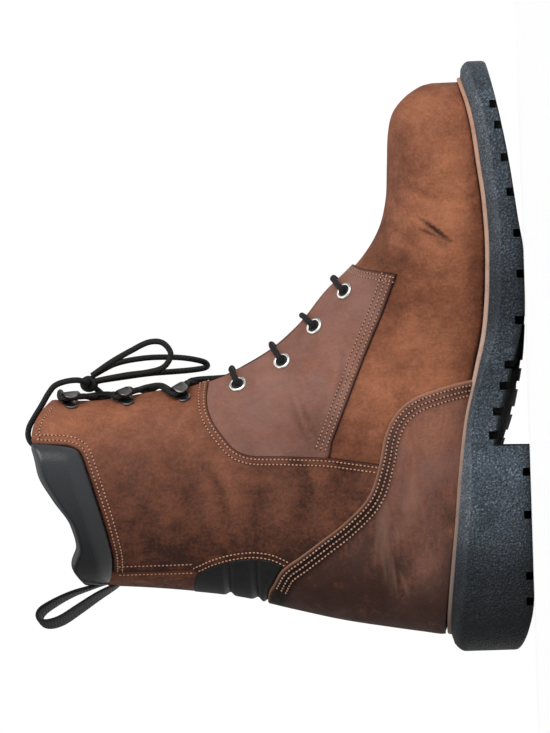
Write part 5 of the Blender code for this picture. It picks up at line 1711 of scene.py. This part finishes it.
def stitchTree():
    lengths, paints = ("Spacing", "Stitch Length", "Thread Radius", "Hole Radius"), ("Thread", "Hole")
    tree, given = newTree("stitchRows", Float=lengths, Int=("Seed",), Material=paints)
    curve = addNode(tree, "GeometryNodeMeshToCurve", {"Mesh": given["Geometry"]}).outputs["Curve"]
    inputs = {"Curve": curve, "Length": given["Spacing"]}
    points = addNode(tree, "GeometryNodeCurveToPoints", inputs, mode="LENGTH").outputs
    turn = addNode(tree, "FunctionNodeAlignRotationToVector", {"Vector": points["Tangent"]}, axis="X")
    inputs = {"Min": [-most for most in stitches["lean"]], "Max": stitches["lean"], "Seed": given["Seed"]}
    lean = addNode(tree, "FunctionNodeRandomValue", inputs, data_type="FLOAT_VECTOR")
    inputs = {"Rotation": turn.outputs["Rotation"], "Rotate By": lean.outputs["Value"]}
    turn = addNode(tree, "FunctionNodeRotateRotation", inputs, rotation_space="LOCAL").outputs["Rotation"]
    half, step = (times(tree, given[label], 0.5) for label in ("Stitch Length", "Spacing"))
    inputs = {"X": half, "Y": given["Thread Radius"], "Z": given["Thread Radius"]}
    size = addNode(tree, "ShaderNodeCombineXYZ", inputs).outputs["Vector"]
    aside = addNode(tree, "ShaderNodeCombineXYZ", {"X": step}).outputs["Vector"]
    inputs = {"Segments": 7, "Rings": 5, "Radius": 1.0}
    ball = addNode(tree, "GeometryNodeMeshUVSphere", inputs).outputs["Mesh"]
    # A dark dot beside each stitch: painted shade in its needle hole
    inputs = {"Segments": 6, "Rings": 4, "Radius": given["Hole Radius"]}
    dot = addNode(tree, "GeometryNodeMeshUVSphere", inputs).outputs["Mesh"]
    thread, hole = reshaped(tree, ball, Scale=size), reshaped(tree, dot, Translation=aside)
    repeatAt(tree, points["Points"], turn, [(thread, given["Thread"]), (hole, given["Hole"])])
    return tree


def visiblePart(line, hidden):  # keeps the stretch of a line that shows on the upper from the side
    rows = sectionAt(np.linspace(0.0, last["top"], 400))
    shape = np.concatenate([np.stack(rows[0:2], 1), np.stack(rows[2:4], 1)[::-1]])
    shown = outlineDistance(line, shape) > stitches["clear"]
    shown &= line[:, 1] < smoothTable(last["collar"], line[:, 0]) - stitches["below"]
    if hidden is not None:
        shown &= outlineDistance(line, hidden) < -stitches["beside"]
    return line[shown]


def buildStitches():
    tree = stitchTree()
    tabEdge = smoothLine(stitches["tab"], 6)
    seam = np.array([(backstay["front"], z) for z in np.linspace(*stitches["seam"])])
    rows = {
        "lightStitches": (
            lightThread, 1.0,
            [
                (shaftFront[:-6], (2.0, 4.6), 1.9, counterOutline),
                (padLine[12:], (-2.4, -4.9), 1.0, None),
                (flexEdge[6:-6], (-2.0, -4.4), 1.0, counterOutline),
                (tabEdge[6:], (0.0,), 1.0, None),
            ],
        ),
        "brownStitches": (
            brownThread, 1.0,
            [
                (eyestayDiagonal[1:-2], (-2.0, -4.4, -6.9), 1.45, None),
                (eyestayFront[4:-1], (-2.0, -4.4), 1.45, None),
                (seam, (2.0,), 1.4, None),
                (seam, (-2.0,), 1.0, None),
            ],
        ),
        "heelStitches": (brownThread, 1.4, [(counterEdge[6:-16], (2.4, 5.0, 7.5), 1.95, None)]),
    }
    for name, (thread, size, lines) in rows.items():
        points, edges = [], []
        for side in (inner, outer):
            for line, distances, lift, hidden in lines:
                for distance in distances:
                    flat = visiblePart(evenLine(shifted(line, distance), stitches["step"]), hidden)
                    station, climb = fromSide(flat, side)
                    spots = onUpper(station, climb, side, lift)
                    start = len(points)
                    points += list(spots)
                    edges += [(start + k, start + k + 1) for k in range(len(spots) - 1)]
        piece = pointPiece(name, points, edges)
        sizes = {"Spacing": stitches["spacing"] * mm, "Stitch Length": stitches["length"] * mm}
        sizes["Thread Radius"] = stitches["thread"] * size * mm
        sizes["Hole Radius"] = stitches["hole"] * size * mm
        useTree(piece, tree, {**sizes, "Seed": stitches["seed"], "Thread": thread, "Hole": paintedHoleShade})
        settle(piece, "overlay_leather")


buildStitches()
print("stitches ready")

# Floor, light and camera, in metres
studio = {
    "distance": 5.2,
    "height": 0.0015,
    "target": (0.098, 0.0, 0.131),
    "frameHeight": 0.381,
    "roll": 1.8,
    "world": 0.3,
    "backdrop": 1.02,
    "floorHalf": 9.0,
    "floorDrop": 0.0002,
    "paper": (40.0, 4.0),
    "greys": (0.90, 0.94),
    "lamps": [("keyLight", (-0.7, 0.68, -0.3), 40.0, 2.2), ("topLight", (0.0, 0.1, -1.0), 90.0, 1.8)],
}
white = (1.0, 1.0, 1.0, 1.0)


def sunLight(name, towards, spreadAngle, strength):  # a broad soft lamp, the same all over the floor
    light = bpy.data.lights.new(name, "SUN")
    light.angle, light.energy = math.radians(spreadAngle), strength
    addObject(name, light).rotation_euler = Vector(towards).to_track_quat("-Z", "Y").to_euler()


def buildWorld():  # soft light from all round, and a white backdrop for the camera alone
    world = bpy.data.worlds.new("studio")
    bpy.context.scene.world = world
    world.use_nodes = True
    tree = world.node_tree
    ground = tree.nodes["Background"]
    ground.inputs["Color"].default_value = white
    ground.inputs["Strength"].default_value = studio["world"]
    backdrop = addNode(tree, "ShaderNodeBackground", {"Color": white, "Strength": studio["backdrop"]})
    seen = addNode(tree, "ShaderNodeLightPath").outputs["Is Camera Ray"]
    mix = addNode(tree, "ShaderNodeMixShader", {0: seen, 1: ground.outputs[0], 2: backdrop.outputs[0]})
    tree.links.new(mix.outputs[0], tree.nodes["World Output"].inputs["Surface"])


def buildFloor():
    half, low = studio["floorHalf"], -studio["floorDrop"]
    mesh = bpy.data.meshes.new("floor")
    corners = [(-half, -half, low), (half, -half, low), (half, half, low), (-half, half, low)]
    mesh.from_pydata(corners, [], [(0, 1, 2, 3)])
    material, tree, shader, place = newMaterial("floorPaper", Roughness=0.9, Specular_IOR_Level=0.0)
    stops = [(float(i), (grey, grey, grey, 1.0)) for i, grey in enumerate(studio["greys"])]
    feed(tree, shader, Base_Color=ramp(tree, noise(tree, place, *studio["paper"]), stops))
    mesh.materials.append(material)
    addObject("floor", mesh)


def buildCamera():
    camera = bpy.data.cameras.new("camera")
    camera.lens = camera.sensor_width * studio["distance"] / studio["frameHeight"]
    target = Vector(studio["target"])
    eye = Vector((target.x, -studio["distance"], studio["height"]))
    back = (eye - target).normalized()
    turn = math.radians(studio["roll"])
    up = Vector((math.cos(turn), 0.0, -math.sin(turn)))  # the photo has the toe at the top
    right = up.cross(back).normalized()
    matrix = Matrix((right, back.cross(right), back)).transposed().to_4x4()
    matrix.translation = eye
    lens = addObject("camera", camera)
    lens.matrix_world = matrix
    bpy.context.scene.camera = lens


def buildStudio():
    bpy.context.scene.view_settings.view_transform = "Standard"
    buildWorld()
    buildFloor()
    for lamp in studio["lamps"]:
        sunLight(*lamp)
    buildCamera()


buildStudio()
print("studio ready")
